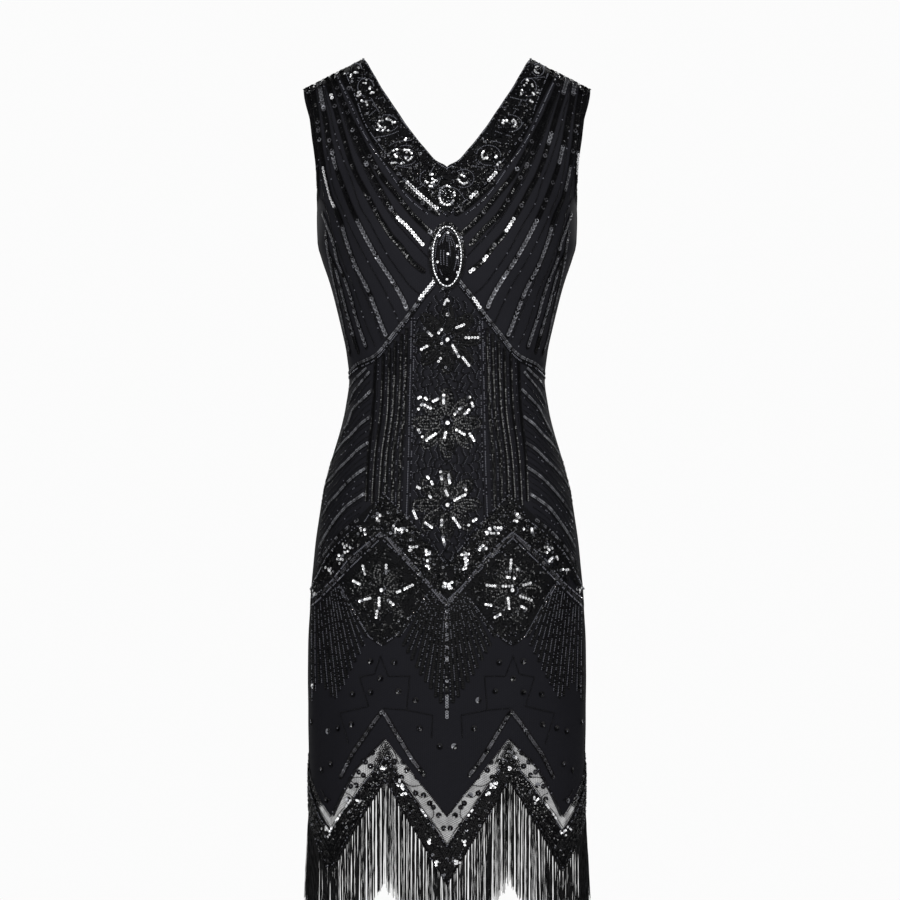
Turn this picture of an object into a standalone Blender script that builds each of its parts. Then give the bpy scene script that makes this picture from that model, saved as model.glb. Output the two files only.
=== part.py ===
"""Sequin fringe dress, hollow and filled out as it is worn, held at its shoulders.

The net panels, the skirt lining, the beaded bands, the oval applique and the fringe are each a wall of their own.
All of them are laid out on the same sections of the dress. Front is -Y, up is +Z, and the origin is midway
between the shoulders. The tables are in millimetres and the model in metres.
"""

import math
import random

import bpy
import numpy as np

MM = 0.001

# A row for each level section, from the shoulder seam down. A row above the underarm slopes: its height is that of
# its neck end, and its drop is how far its armhole end lies below that. Neck, band and edge are distances from the
# centre line to the neck edge, the beaded neck band's outer line, and the armhole or side seam. Armhole is how far
# from the seam plane the armhole's edge lies, as a share of the section's depth.
SECTION_COLUMNS = ("height", "drop", "neck", "band", "edge", "armhole", "front", "back")
SECTIONS = np.array((
    (17, 36, 100, 124, 171, 0.75, 0, 0),
    (12, 35, 96.5, 122, 170.5, 0.75, 16, 16),
    (2, 33, 91, 118, 169.5, 0.72, 30, 29),
    (-20, 28, 79, 109, 165, 0.68, 47, 43),
    (-45, 23, 63, 100, 160, 0.63, 63, 56),
    (-72, 18, 45.5, 87.5, 156, 0.57, 78, 67),
    (-98, 14, 25.5, 70.5, 154, 0.47, 91, 76),
    (-112, 12, 13, 61, 153.5, 0.39, 97, 81),
    (-120, 11, 0, 56, 153.7, 0.33, 100, 83),
    (-140, 8, 0, 40.5, 154.5, 0.20, 107, 88),
    (-155, 6, 0, 25.5, 155, 0, 111, 91),
    (-180, 0, 0, 0, 155.2, 0, 117, 94),
    (-203, 0, 0, 0, 154.5, 0, 120, 95),
    (-223, 0, 0, 0, 149, 0, 119, 94),
    (-247, 0, 0, 0, 141, 0, 114, 92),
    (-275, 0, 0, 0, 133, 0, 107, 89),
    (-305, 0, 0, 0, 126, 0, 98, 85.5),
    (-335, 0, 0, 0, 119.5, 0, 91, 83),
    (-367, 0, 0, 0, 116.5, 0, 87, 82),
    (-399, 0, 0, 0, 120.5, 0, 88, 87),
    (-431, 0, 0, 0, 128, 0, 91, 94),
    (-463, 0, 0, 0, 137.5, 0, 94, 101),
    (-495, 0, 0, 0, 146, 0, 97, 108),
    (-535, 0, 0, 0, 153, 0, 99, 114),
    (-583, 0, 0, 0, 159, 0, 101, 118),
    (-640, 0, 0, 0, 163.5, 0, 103, 117),
    (-703, 0, 0, 0, 166, 0, 104, 115),
    (-823, 0, 0, 0, 165, 0, 106, 112),
    (-955, 0, 0, 0, 163, 0, 107, 111),
))
SHOULDER = 17
UNDERARM = -155
ROUNDNESS = 2.3  # exponent of the sections' outline: 2 is an ellipse, and more is squarer
COLUMNS = 12  # of each panel, from its centre line to its side seam
SECTION_POINTS = 80
NORMAL_RISE = 4  # how far up and down the net the outward direction is measured
NORMAL_REACH = 0.02  # and how far across it, as a share of the way to the side seam
MIRROR_MERGE = 0.00001  # metres, and so also how close to the centre plane a point counts as on it

# A row for each corner of a side's zigzag hem, and then of its lining's edge. Along is the share of the way from the
# centre line to the side seam. The back's points hang lower than the front's, as the seat lifts the cloth.
HEM_COLUMNS = ("along", "band_top", "band_bottom")
HEM = {
    "front": np.array(((0, -914, -961), (1 / 3, -811, -838), (2 / 3, -902, -948), (1, -830, -866))),
    "back": np.array(((0, -937, -985), (1 / 3, -827.5, -855), (2 / 3, -917, -965), (1, -830, -866))),
}
LINING_COLUMNS = ("along", "edge")
LINING_EDGE = {
    "front": np.array(((0, -879), (1 / 3, -789), (1 / 2, -826), (7 / 12, -855), (2 / 3, -884), (1, -814))),
    "back": np.array(((0, -901), (1 / 3, -804.5), (1 / 2, -840), (7 / 12, -868), (2 / 3, -897), (1, -814))),
}
SKIRT_START = -703  # the rows of the panels bend towards the zigzag below this height
SKIRT_ROWS = 4
LINING_START = -583
LINING_ROWS = 5

# A row for each corner of the girdle's zigzag, with its upper and lower borders.
GIRDLE_COLUMNS = ("along", "upper", "lower")
GIRDLE = np.array((
    (0, -586, -630),
    (0.38, -503, -546),
    (1, -618, -641),
))

NET_WALL = 1.2
LINING_WALL = 1.2
BAND_WALL = 1.4
GAP = 0.3
LAID_GAP = 0.5
GIRDLE_GAP = 0.8  # its rows cross the panel's, so it needs more room over them
SEAM_GAP = 0.3
NECK_BAND_COLUMNS = 3
NECK_BAND_TIP = (-172, 3)  # height and half width of the lower end of the neck band

PENDANT_HEIGHT = -224.5
PENDANT_HALF_WIDTH = 18.1
PENDANT_HALF_LENGTH = 35.7
PENDANT_RIM = 1.6
PENDANT_CROWN = 3.0
PENDANT_ROWS = 11
PENDANT_COLUMNS = 4
PENDANT_END_TURN = 80  # degrees from the middle of the oval to its last row

STRANDS_A_COLUMN = 4
STRIP_HEIGHT = 5
STRAND_LENGTH = 117
STRAND_UNEVEN = 5
STRAND_SWAY = 0.5
STRAND_TAPER = 0.2  # share of its width that a strand loses on each side by its end
STRAND_SEED = 11

NET = ("black_net", (0.014, 0.014, 0.017, 1), 0.6, 0)
SATIN = ("black_satin", (0.01, 0.01, 0.012, 1), 0.4, 0)
BEADS = ("jet_beads", (0.03, 0.03, 0.035, 1), 0.15, 0.3)
BUGLES = ("silver_lined_bugles", (0.35, 0.36, 0.38, 1), 0.12, 0.8)
THREAD = ("fringe_thread", (0.01, 0.01, 0.012, 1), 0.5, 0)


def clear_scene():
    for thing in list(bpy.context.scene.objects):
        bpy.data.objects.remove(thing, do_unlink=True)


def column(name, height):
    """A column of the section table at any height."""
    values = SECTIONS[:, SECTION_COLUMNS.index(name)]
    return float(np.interp(-height, -SECTIONS[:, 0], values))


def zigzag(table, columns, name, along):
    """A named line of a zigzag table, at shares of the way to the side seam."""
    return np.interp(along, table[:, 0], table[:, columns.index(name)])


def facing(side):
    return -1 if side == "front" else 1


def section(side, height):
    """Points of half a section, from neck edge or centre line to armhole or side seam, and their share of it."""
    depth = column(side, height)
    neck = column("neck", height)
    edge = column("edge", height)
    edge_angle = math.acos(column("armhole", height) ** (ROUNDNESS / 2))
    girth = edge / math.sin(edge_angle) ** (2 / ROUNDNESS)
    neck_angle = math.asin((neck / girth) ** (ROUNDNESS / 2))
    angles = np.linspace(neck_angle, edge_angle, SECTION_POINTS)
    x = girth * np.sin(angles) ** (2 / ROUNDNESS)
    y = facing(side) * depth * np.abs(np.cos(angles)) ** (2 / ROUNDNESS)
    z = height - column("drop", height) * (x - neck) / (edge - neck)
    points = np.stack((x, y, z), axis=1)
    steps = np.linalg.norm(np.diff(points, axis=0), axis=1)
    share = np.concatenate(([0], np.cumsum(steps))) / steps.sum()
    return points, share


def cloth_point(side, height, along):
    """A point of the net's outer face."""
    points, share = section(side, height)
    return np.array([np.interp(along, share, points[:, axis]) for axis in range(3)])


def along_at(side, height, distance):
    """The share of the way to the side seam at a distance from the centre line."""
    points, share = section(side, height)
    return float(np.interp(distance, points[:, 0], share))


def cloth_normal(side, height, along):
    """The outward direction at a point, kept in the plane of the seam or centre line that the point lies on."""
    top = min(height + NORMAL_RISE, SHOULDER)
    left = max(along - NORMAL_REACH, 0)
    right = min(along + NORMAL_REACH, 1)
    up = cloth_point(side, top, along) - cloth_point(side, height - NORMAL_RISE, along)
    across = cloth_point(side, height, right) - cloth_point(side, height, left)
    normal = np.cross(across, up) * -facing(side)
    if height >= SHOULDER or (along >= 1 and height <= UNDERARM):
        normal[1] = 0
    if along <= 0 and column("neck", height) == 0:
        normal[0] = 0
    return normal / np.linalg.norm(normal)


def lay_out(side, heights, along):
    """Points and normals of a grid of places on one side of the dress."""
    places = list(zip(heights.ravel(), along.ravel()))
    points = np.array([cloth_point(side, *place) for place in places])
    normals = np.array([cloth_normal(side, *place) for place in places])
    points[:, 1] += facing(side) * SEAM_GAP / 2
    return points, normals


def grid_faces(side, rows, columns):
    """Quads of a grid whose rows run down and whose columns run to the side seam, facing out."""
    faces = []
    for row in range(rows - 1):
        for place in range(columns - 1):
            corner = row * columns + place
            face = [corner, corner + columns, corner + columns + 1, corner + 1]
            faces.append(face if side == "front" else face[::-1])
    return faces


def open_edges(faces):
    """Edges that one face alone uses, each in that face's direction."""
    used = set()
    for face in faces:
        used.update(zip(face, face[1:] + face[:1]))
    return sorted(edge for edge in used if edge[::-1] not in used)


def material(look):
    name, colour, roughness, metallic = look
    finish = bpy.data.materials.get(name)
    if finish:
        return finish
    finish = bpy.data.materials.new(name)
    finish.use_nodes = True
    finish.diffuse_color = colour
    shader = finish.node_tree.nodes["Principled BSDF"]
    shader.inputs["Base Color"].default_value = colour
    shader.inputs["Roughness"].default_value = roughness
    shader.inputs["Metallic"].default_value = metallic
    return finish


def wall(collection, name, points, normals, faces, inner, outer, look):
    """A closed wall from its laid-out half: both faces, a rim on each open edge, and the mirrored other half."""
    inner = np.broadcast_to(inner, len(points))[:, None]
    outer = np.broadcast_to(outer, len(points))[:, None]
    count = len(points)
    vertices = np.concatenate((points + normals * outer, points + normals * inner)) * MM
    on_centre = np.abs(vertices[:, 0]) < MIRROR_MERGE
    vertices[on_centre, 0] = 0
    shell = [list(face) for face in faces]
    shell += [[corner + count for corner in reversed(face)] for face in faces]
    for start, end in open_edges(faces):
        if not (on_centre[start] and on_centre[end]):
            shell.append([end, start, start + count, end + count])
    mesh = bpy.data.meshes.new(name)
    mesh.from_pydata(vertices.tolist(), [], shell)
    mesh.materials.append(material(look))
    piece = bpy.data.objects.new(name, mesh)
    collection.objects.link(piece)
    mirror = piece.modifiers.new("other_half", "MIRROR")
    mirror.merge_threshold = MIRROR_MERGE
    return piece


def even_rows(heights, columns):
    """Level rows, each at one height all the way to the side seam."""
    return np.repeat(np.array(heights, float)[:, None], columns + 1, axis=1)


def blended_rows(start, end, rows):
    """Rows that bend step by step from a level start to an end line, without the start itself."""
    return np.array([start + (end - start) * row / rows for row in range(1, rows + 1)])


def panel(collection, side):
    """The net, from the shoulder seam to the lower edge of the hem band."""
    along = np.linspace(0, 1, COLUMNS + 1)
    level = [height for height in SECTIONS[:, 0] if height >= SKIRT_START]
    band_top, band_bottom = (zigzag(HEM[side], HEM_COLUMNS, name, along) for name in HEM_COLUMNS[1:])
    heights = np.concatenate((
        even_rows(level, COLUMNS),
        blended_rows(SKIRT_START, band_top, SKIRT_ROWS),
        [band_bottom],
    ))
    points, normals = lay_out(side, heights, np.tile(along, (len(heights), 1)))
    faces = grid_faces(side, len(heights), COLUMNS + 1)
    wall(collection, side, points, normals, faces, -NET_WALL, 0, NET)


def lining(collection, side):
    """The opaque skirt lining behind the net, down to its own zigzag edge."""
    along = np.linspace(0, 1, COLUMNS + 1)
    level = [height for height in SECTIONS[:, 0] if SKIRT_START <= height <= LINING_START]
    edge = zigzag(LINING_EDGE[side], LINING_COLUMNS, "edge", along)
    heights = np.concatenate((even_rows(level, COLUMNS), blended_rows(SKIRT_START, edge, LINING_ROWS)))
    points, normals = lay_out(side, heights, np.tile(along, (len(heights), 1)))
    faces = grid_faces(side, len(heights), COLUMNS + 1)
    outer = -NET_WALL - GAP
    wall(collection, "lining_" + side, points, normals, faces, outer - LINING_WALL, outer, SATIN)


def neck_band(collection, side):
    """The beaded band along the V neck, laid on the rows of the panel that it covers."""
    rows = [height for height in SECTIONS[:, 0] if height >= UNDERARM]
    heights = []
    along = []
    for height in rows + [NECK_BAND_TIP[0]]:
        neck = column("neck", height)
        reach = column("band", height) if height >= UNDERARM else NECK_BAND_TIP[1]
        for distance in np.linspace(neck, reach, NECK_BAND_COLUMNS + 1):
            heights.append(height)
            along.append(along_at(side, height, distance))
    points, normals = lay_out(side, np.array(heights), np.array(along))
    faces = grid_faces(side, len(rows) + 1, NECK_BAND_COLUMNS + 1)
    wall(collection, "neck_band_" + side, points, normals, faces, LAID_GAP, LAID_GAP + BAND_WALL, BEADS)


def girdle(collection, side):
    """The beaded zigzag band over the hips."""
    along = np.unique(np.concatenate((np.linspace(0, 1, COLUMNS + 1), GIRDLE[:, 0])))
    upper = zigzag(GIRDLE, GIRDLE_COLUMNS, "upper", along)
    lower = zigzag(GIRDLE, GIRDLE_COLUMNS, "lower", along)
    heights = np.array((upper, (upper + lower) / 2, lower))
    points, normals = lay_out(side, heights, np.tile(along, (len(heights), 1)))
    faces = grid_faces(side, len(heights), len(along))
    wall(collection, "girdle_" + side, points, normals, faces, GIRDLE_GAP, GIRDLE_GAP + BAND_WALL, BEADS)


def hem_band(collection, side):
    """The beaded band on the last row of the net."""
    along = np.linspace(0, 1, COLUMNS + 1)
    heights = np.array([zigzag(HEM[side], HEM_COLUMNS, name, along) for name in HEM_COLUMNS[1:]])
    points, normals = lay_out(side, heights, np.tile(along, (len(heights), 1)))
    faces = grid_faces(side, len(heights), COLUMNS + 1)
    wall(collection, "hem_band_" + side, points, normals, faces, LAID_GAP, LAID_GAP + BAND_WALL, BEADS)


def pendant(collection):
    """The raised oval under the V, thickest in the middle."""
    turns = np.radians(np.linspace(PENDANT_END_TURN, -PENDANT_END_TURN, PENDANT_ROWS))
    heights = []
    along = []
    crown = []
    for turn in turns:
        height = PENDANT_HEIGHT + PENDANT_HALF_LENGTH * math.sin(turn)
        reach = PENDANT_HALF_WIDTH * math.cos(turn)
        for share in np.linspace(0, 1, PENDANT_COLUMNS + 1):
            heights.append(height)
            along.append(along_at("front", height, reach * share))
            crown.append(math.sqrt(max(0, 1 - math.sin(turn) ** 2 - (math.cos(turn) * share) ** 2)))
    points, normals = lay_out("front", np.array(heights), np.array(along))
    faces = grid_faces("front", PENDANT_ROWS, PENDANT_COLUMNS + 1)
    outer = LAID_GAP + PENDANT_RIM + PENDANT_CROWN * np.array(crown)
    wall(collection, "pendant", points, normals, faces, LAID_GAP, outer, BUGLES)


def fringe(collection, side):
    """A narrow strip under the hem, with strands that hang from every second step of its lower edge."""
    steps = STRANDS_A_COLUMN * 2
    marks = np.concatenate(([0], np.arange(steps) + 0.5)) / steps
    hem_corners = np.linspace(0, 1, COLUMNS + 1)
    along = np.append((hem_corners[:-1, None] + marks / COLUMNS).ravel(), 1)
    hem = zigzag(HEM[side], HEM_COLUMNS, "band_bottom", hem_corners)
    corner_points, corner_normals = lay_out(side, hem - GAP, hem_corners)
    points = np.stack([np.interp(along, hem_corners, corner_points[:, axis]) for axis in range(3)], axis=1)
    normals = np.stack([np.interp(along, hem_corners, corner_normals[:, axis]) for axis in range(3)], axis=1)
    normals[:, 2] = 0
    normals /= np.linalg.norm(normals, axis=1)[:, None]
    width = len(along)
    strip = points - (0, 0, STRIP_HEIGHT)
    faces = grid_faces(side, 2, width)
    all_points = [*points, *strip]
    all_normals = [*normals, *normals]
    chance = random.Random(STRAND_SEED + facing(side))
    for start in [first + step for first in range(0, width - 1, len(marks)) for step in range(1, steps, 2)]:
        left, right = strip[start], strip[start + 1]
        level = (left[2] + right[2]) / 2 - STRAND_LENGTH + chance.uniform(-STRAND_UNEVEN, STRAND_UNEVEN)
        narrower = (right - left) * STRAND_TAPER
        sway = np.array((chance.uniform(-STRAND_SWAY, STRAND_SWAY), chance.uniform(-STRAND_SWAY, STRAND_SWAY), 0))
        for root, corner in ((left + narrower, start), (right - narrower, start + 1)):
            all_points.append(np.array((root[0], root[1], level)) + sway)
            all_normals.append(normals[corner])
        root_left, root_right = width + start, width + start + 1
        end_left = len(all_points) - 2
        face = [root_left, end_left, end_left + 1, root_right]
        faces.append(face if side == "front" else face[::-1])
    wall(collection, "fringe_" + side, np.array(all_points), np.array(all_normals), faces, -NET_WALL, 0, THREAD)


def main():
    clear_scene()
    collection = bpy.data.collections.new("sequin_fringe_dress")
    bpy.context.scene.collection.children.link(collection)
    pendant(collection)
    for side in ("front", "back"):
        panel(collection, side)
        lining(collection, side)
        neck_band(collection, side)
        girdle(collection, side)
        hem_band(collection, side)
        fringe(collection, side)


main()
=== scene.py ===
import math

import bmesh
import bpy
import numpy as np
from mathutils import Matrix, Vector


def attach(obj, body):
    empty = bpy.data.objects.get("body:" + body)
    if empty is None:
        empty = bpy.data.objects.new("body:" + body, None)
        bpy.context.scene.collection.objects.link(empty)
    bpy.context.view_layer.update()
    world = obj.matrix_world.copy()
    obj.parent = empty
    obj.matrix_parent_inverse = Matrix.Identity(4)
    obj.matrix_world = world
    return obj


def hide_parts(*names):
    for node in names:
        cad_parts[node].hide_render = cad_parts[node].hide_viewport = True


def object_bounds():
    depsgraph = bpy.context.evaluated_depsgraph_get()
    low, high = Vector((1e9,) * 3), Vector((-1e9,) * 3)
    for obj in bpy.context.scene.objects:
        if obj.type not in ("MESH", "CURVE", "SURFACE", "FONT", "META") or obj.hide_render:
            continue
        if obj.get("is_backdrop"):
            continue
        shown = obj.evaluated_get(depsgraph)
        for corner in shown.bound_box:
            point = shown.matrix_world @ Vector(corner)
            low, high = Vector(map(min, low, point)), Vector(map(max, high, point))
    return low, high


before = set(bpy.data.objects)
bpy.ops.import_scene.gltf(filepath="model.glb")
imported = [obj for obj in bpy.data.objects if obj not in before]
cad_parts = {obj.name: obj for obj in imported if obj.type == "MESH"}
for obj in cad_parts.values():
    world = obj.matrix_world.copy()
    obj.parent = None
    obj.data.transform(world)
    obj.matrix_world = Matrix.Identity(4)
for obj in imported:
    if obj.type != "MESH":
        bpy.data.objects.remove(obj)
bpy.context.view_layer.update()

MM = 0.001
chance = np.random.default_rng(1926)

# The worn form, in millimetres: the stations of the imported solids, joined here by smooth curves.
FORM_NAMES = ("height", "drop", "neck", "band", "edge", "armhole", "front", "back")
FORM = (
    (17, 36, 100, 124, 171, 0.75, 0, 0),
    (12, 35, 96.5, 122, 170.5, 0.75, 16, 16),
    (2, 33, 91, 118, 169.5, 0.72, 30, 29),
    (-20, 28, 79, 109, 165, 0.68, 47, 43),
    (-45, 23, 63, 100, 160, 0.63, 63, 56),
    (-72, 18, 45.5, 87.5, 156, 0.57, 78, 67),
    (-98, 14, 25.5, 70.5, 154, 0.47, 91, 76),
    (-112, 12, 13, 61, 153.5, 0.39, 97, 81),
    (-120, 11, 0, 56, 153.7, 0.33, 100, 83),
    (-140, 8, 0, 40.5, 154.5, 0.20, 107, 88),
    (-155, 6, 0, 25.5, 155, 0, 111, 91),
)
LOWER_FORM = (
    (-180, 155.2, 117, 94),
    (-203, 154.5, 120, 95),
    (-223, 149, 119, 94),
    (-247, 141, 114, 92),
    (-275, 133, 107, 89),
    (-305, 126, 98, 85.5),
    (-335, 119.5, 91, 83),
    (-367, 116.5, 87, 82),
    (-399, 120.5, 88, 87),
    (-431, 128, 91, 94),
    (-463, 137.5, 94, 101),
    (-495, 146, 97, 108),
    (-535, 153, 99, 114),
    (-583, 159, 101, 118),
    (-640, 163.5, 103, 117),
    (-703, 166, 104, 115),
    (-823, 165, 106, 112),
    (-955, 163, 107, 111),
    (-1010, 162.5, 107, 111),
)
SIDES = {"front": -1, "back": 1}
HALVES = (0, 1)  # 0 is the half on the viewer's left when the front is seen
QUARTERS = tuple((side, half) for side in SIDES for half in HALVES)
ROUNDNESS = 2.3
SEAM_GAP = 0.15
SHOULDER = 17.0
UNDERARM = -155.0
NECK_POINT = -120.0

# The edges that run in zigzags round the dress, as (share of the half panel's width, height or heights).
HEM = {
    "front": ((0, -914, -961), (1 / 3, -811, -838), (2 / 3, -902, -948), (1, -830, -866)),
    "back": ((0, -937, -985), (1 / 3, -827.5, -855), (2 / 3, -917, -965), (1, -830, -866)),
}
LINING_EDGE = {
    "front": ((0, -879), (1 / 3, -789), (1 / 2, -826), (7 / 12, -855), (2 / 3, -884), (1, -814)),
    "back": ((0, -901), (1 / 3, -804.5), (1 / 2, -840), (7 / 12, -868), (2 / 3, -897), (1, -814)),
}
GIRDLE = ((0, -586, -630), (0.38, -503, -546), (1, -618, -641))
SKIRT_START = -583.0
BAND_TIP = (-172.0, 3.0)

# The photograph's frame: millimetres a pixel at the side seams, and the pixel of the centre line
PIXEL = 1.2
CENTRE_PIXEL = 447.3
SHOULDER_PIXEL = 74.0
CAMERA_DISTANCE = 4500.0
CAMERA_HEIGHT = -451.0


def distances(line):
    """How far along a line each of its points lies."""
    return np.concatenate(([0], np.cumsum(np.linalg.norm(np.diff(line, axis=0), axis=1))))


def turns(count):
    """Angles at an even pitch round a circle."""
    return np.linspace(0, 2 * math.pi, count, endpoint=False)


def unit(vectors):
    """Vectors at a length of one."""
    return vectors / np.maximum(np.linalg.norm(vectors, axis=-1, keepdims=True), 1e-12)


def smooth_between(at, stations, values):
    """Values on a smooth curve through the stations, that never goes past them."""
    stations, values = np.array(stations, float), np.array(values, float)
    order = np.argsort(stations)
    stations, values = stations[order], values[order]
    width = np.diff(stations)
    slope = np.diff(values) / width
    tangent = np.zeros(len(values))
    tangent[0], tangent[-1] = slope[0], slope[-1]
    turning = slope[:-1] * slope[1:] <= 0
    near, far = 2 * width[1:] + width[:-1], width[1:] + 2 * width[:-1]
    with np.errstate(divide="ignore", invalid="ignore"):
        inner = (near + far) / (near / slope[:-1] + far / slope[1:])
    tangent[1:-1] = np.where(turning, 0.0, inner)
    at = np.clip(at, stations[0], stations[-1])
    k = np.clip(np.searchsorted(stations, at) - 1, 0, len(width) - 1)
    t = (at - stations[k]) / width[k]
    return (
        (1 + 2 * t) * (1 - t) ** 2 * values[k]
        + t * (1 - t) ** 2 * width[k] * tangent[k]
        + t**2 * (3 - 2 * t) * values[k + 1]
        + t**2 * (t - 1) * width[k] * tangent[k + 1]
    )


stations = {name: [] for name in FORM_NAMES}
for station in FORM + tuple((h, 0, 0, 0, edge, 0, front, back) for h, edge, front, back in LOWER_FORM):
    for name, value in zip(FORM_NAMES, station):
        stations[name].append(value)


def form(name, height):
    """One measure of the worn form at these heights."""
    return smooth_between(np.asarray(height, float), stations["height"], stations[name])


# The outer face of the net as a fine grid, by side, half, row and share of the half panel's width.
ROW_STEP = 2.0
ROWS = 505
COLUMNS = 65
grid_heights = SHOULDER - ROW_STEP * np.arange(ROWS)
grid_shares = np.linspace(0, 1, COLUMNS)
ARC_SAMPLES = 400


def bare_half(side):
    """The grid of a half panel with no creases, on the +X half, and the width of its rows."""
    points = np.zeros((ROWS, COLUMNS, 3))
    widths = np.zeros(ROWS)
    power = ROUNDNESS / 2
    measures = zip(*(form(name, grid_heights) for name in ("drop", "neck", "edge", "armhole", side)))
    for row, (drop, neck, edge, armhole, depth) in enumerate(measures):
        edge_angle = math.acos(max(armhole, 0.0) ** power)
        girth = edge / math.sin(edge_angle) ** (1 / power)
        neck_angle = math.asin((max(neck, 0.0) / girth) ** power)
        angles = np.linspace(neck_angle, edge_angle, ARC_SAMPLES)
        x = girth * np.sin(angles) ** (1 / power)
        y = depth * np.abs(np.cos(angles)) ** (1 / power)
        z = grid_heights[row] - drop * (x - neck) / (edge - neck)
        run = np.concatenate(([0], np.cumsum(np.hypot(np.diff(x), np.diff(y)))))
        widths[row] = run[-1]
        along = grid_shares * run[-1]
        points[row] = np.stack([np.interp(along, run, c) for c in (x, y, z)], axis=-1)
    points[..., 1] = SIDES[side] * (points[..., 1] + SEAM_GAP)
    return points, widths


def normals_of(points, side):
    """Outward normals of a grid of points."""
    across = np.gradient(points, axis=1)
    down = np.gradient(points, axis=0)
    return unit(np.cross(across, down) * SIDES[side])


# Soft creases as (half, height, share, height, share, width, depth): troughs with a low ridge beside them.
CREASES = (
    (0, -318, 1.0, -356, 0.42, 8, 1.7),
    (0, -372, 1.0, -366, 0.30, 7, 1.5),
    (0, -404, 1.0, -384, 0.45, 9, 1.5),
    (1, -328, 1.0, -350, 0.52, 8, 1.5),
    (1, -362, 1.0, -374, 0.36, 7, 1.7),
    (1, -412, 1.0, -392, 0.40, 9, 1.3),
    (0, -172, 0.9, -226, 0.58, 11, 1.2),
    (1, -176, 0.9, -232, 0.62, 12, 1.1),
    (0, -88, 0.92, -150, 0.64, 8, 1.3),
    (1, -80, 0.90, -146, 0.68, 8, 1.2),
    (0, -470, 0.95, -536, 0.56, 12, 1.1),
    (1, -478, 0.96, -540, 0.62, 13, 1.2),
    (0, -660, 0.22, -800, 0.16, 16, 1.4),
    (0, -640, 0.72, -860, 0.66, 18, 1.9),
    (1, -650, 0.30, -790, 0.25, 17, 1.5),
    (1, -652, 0.80, -850, 0.74, 16, 1.7),
)
BACK_SHIFT = 0.05  # the back's creases lie a little further in than the front's


def creased(side, half, points, widths):
    """The half panel with its creases pressed in."""
    across = grid_shares[None, :] * widths[:, None]
    down = np.broadcast_to(grid_heights[:, None], across.shape)
    push = 0.35 * np.sin(across / 31 + half) * np.sin(down / 47 + 2 * half)
    for crease_half, h0, s0, h1, s1, width, depth in CREASES:
        if crease_half != half:
            continue
        if side == "back":
            s0, s1, depth = s0 - BACK_SHIFT, s1 - BACK_SHIFT, depth * 1.1
        a0 = s0 * np.interp(h0, grid_heights[::-1], widths[::-1])
        a1 = s1 * np.interp(h1, grid_heights[::-1], widths[::-1])
        length = math.hypot(a1 - a0, h1 - h0)
        ua, ud = (a1 - a0) / length, (h1 - h0) / length
        share = ((across - a0) * ua + (down - h0) * ud) / length
        away = (down - h0) * ua - (across - a0) * ud + 3 * np.sin(share * 5)
        fade = np.clip(1.15 - np.abs(share - 0.4) * 1.6, 0, 1) ** 1.5
        push -= fade * depth * np.exp(-((away / width) ** 2))
        push += fade * depth * 0.5 * np.exp(-(((away - 1.7 * width) / width) ** 2))
    calm = np.clip(-(grid_heights - 5) / 40, 0, 1)[:, None] * np.clip(12 * (1 - grid_shares), 0, 1)[None, :]
    return points + normals_of(points, side) * (push * calm)[..., None]


SURFACE, NORMAL, WIDTH = {}, {}, {}
for side in SIDES:
    bare, WIDTH[side] = bare_half(side)
    halves, normals = [], []
    for half in HALVES:
        points = creased(side, half, bare, WIDTH[side])
        flip = np.array([2 * half - 1, 1, 1])
        halves.append(points * flip)
        normals.append(normals_of(points, side) * flip)
    SURFACE[side], NORMAL[side] = np.stack(halves), np.stack(normals)


def on_cloth(side, half, height, share, lift=0.0):
    """Points on the net's outer face, in metres and raised by lift millimetres, and the normals there."""
    half, height, share = np.broadcast_arrays(half, height, share)
    row = np.clip((SHOULDER - height) / ROW_STEP, 0, ROWS - 1.001)
    column = np.clip(share, 0, 1) * (COLUMNS - 1.001)
    i, j = row.astype(int), column.astype(int)
    down, over = (row - i)[..., None], (column - j)[..., None]

    def between(grid):
        upper = grid[half, i, j] * (1 - over) + grid[half, i, j + 1] * over
        lower = grid[half, i + 1, j] * (1 - over) + grid[half, i + 1, j + 1] * over
        return upper * (1 - down) + lower * down

    point, normal = between(SURFACE[side]), unit(between(NORMAL[side]))
    lift = np.asarray(lift, float)[..., None]
    return (point + normal * lift) * MM, normal


def zigzag(table, shares, column=1):
    """Heights of a zigzag line at these shares of the half panel's width."""
    table = np.array(table, float)
    return np.interp(shares, table[:, 0], table[:, column])


def on_left(height, share):
    """Places on the left half."""
    return np.zeros(len(share), int), height, share


def width_at(side, height):
    """Width of the half panel at these heights, in millimetres."""
    return np.interp(height, grid_heights[::-1], WIDTH[side][::-1])


def from_pixels(pixels):
    """Places (half, height, share) of the front where the lines of sight through these pixels meet it."""
    pixels = np.asarray(pixels, float)
    target_x = np.abs(pixels[:, 0] - CENTRE_PIXEL) * PIXEL
    target_z = (SHOULDER_PIXEL - pixels[:, 1]) * PIXEL
    half = (pixels[:, 0] > CENTRE_PIXEL).astype(int)
    height, share = target_z.copy(), np.clip(target_x / 170, 0, 1)
    nudge = 0.004
    for _ in range(30):
        point = on_cloth("front", 1, height, share)[0] / MM
        nearer = CAMERA_DISTANCE / (CAMERA_DISTANCE + point[:, 1])
        seen_z = CAMERA_HEIGHT + (point[:, 2] - CAMERA_HEIGHT) * nearer
        beside = on_cloth("front", 1, height, np.clip(share + nudge, 0, 1))[0] / MM
        before = on_cloth("front", 1, height, np.clip(share - nudge, 0, 1))[0] / MM
        rate = (beside[:, 0] - before[:, 0]) / (2 * nudge)
        height = height + 0.8 * (target_z - seen_z) / nearer
        share = np.clip(share + 0.8 * (target_x - point[:, 0] * nearer) / np.maximum(rate, 50), 0, 1)
    return half, height, share


def from_measures(x, z):
    """Places near the centre line by their distances across and down the cloth, in millimetres."""
    x, z = np.broadcast_arrays(np.asarray(x, float), np.asarray(z, float))
    return (x > 0).astype(int), z, np.abs(x) / width_at("front", z)


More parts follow.
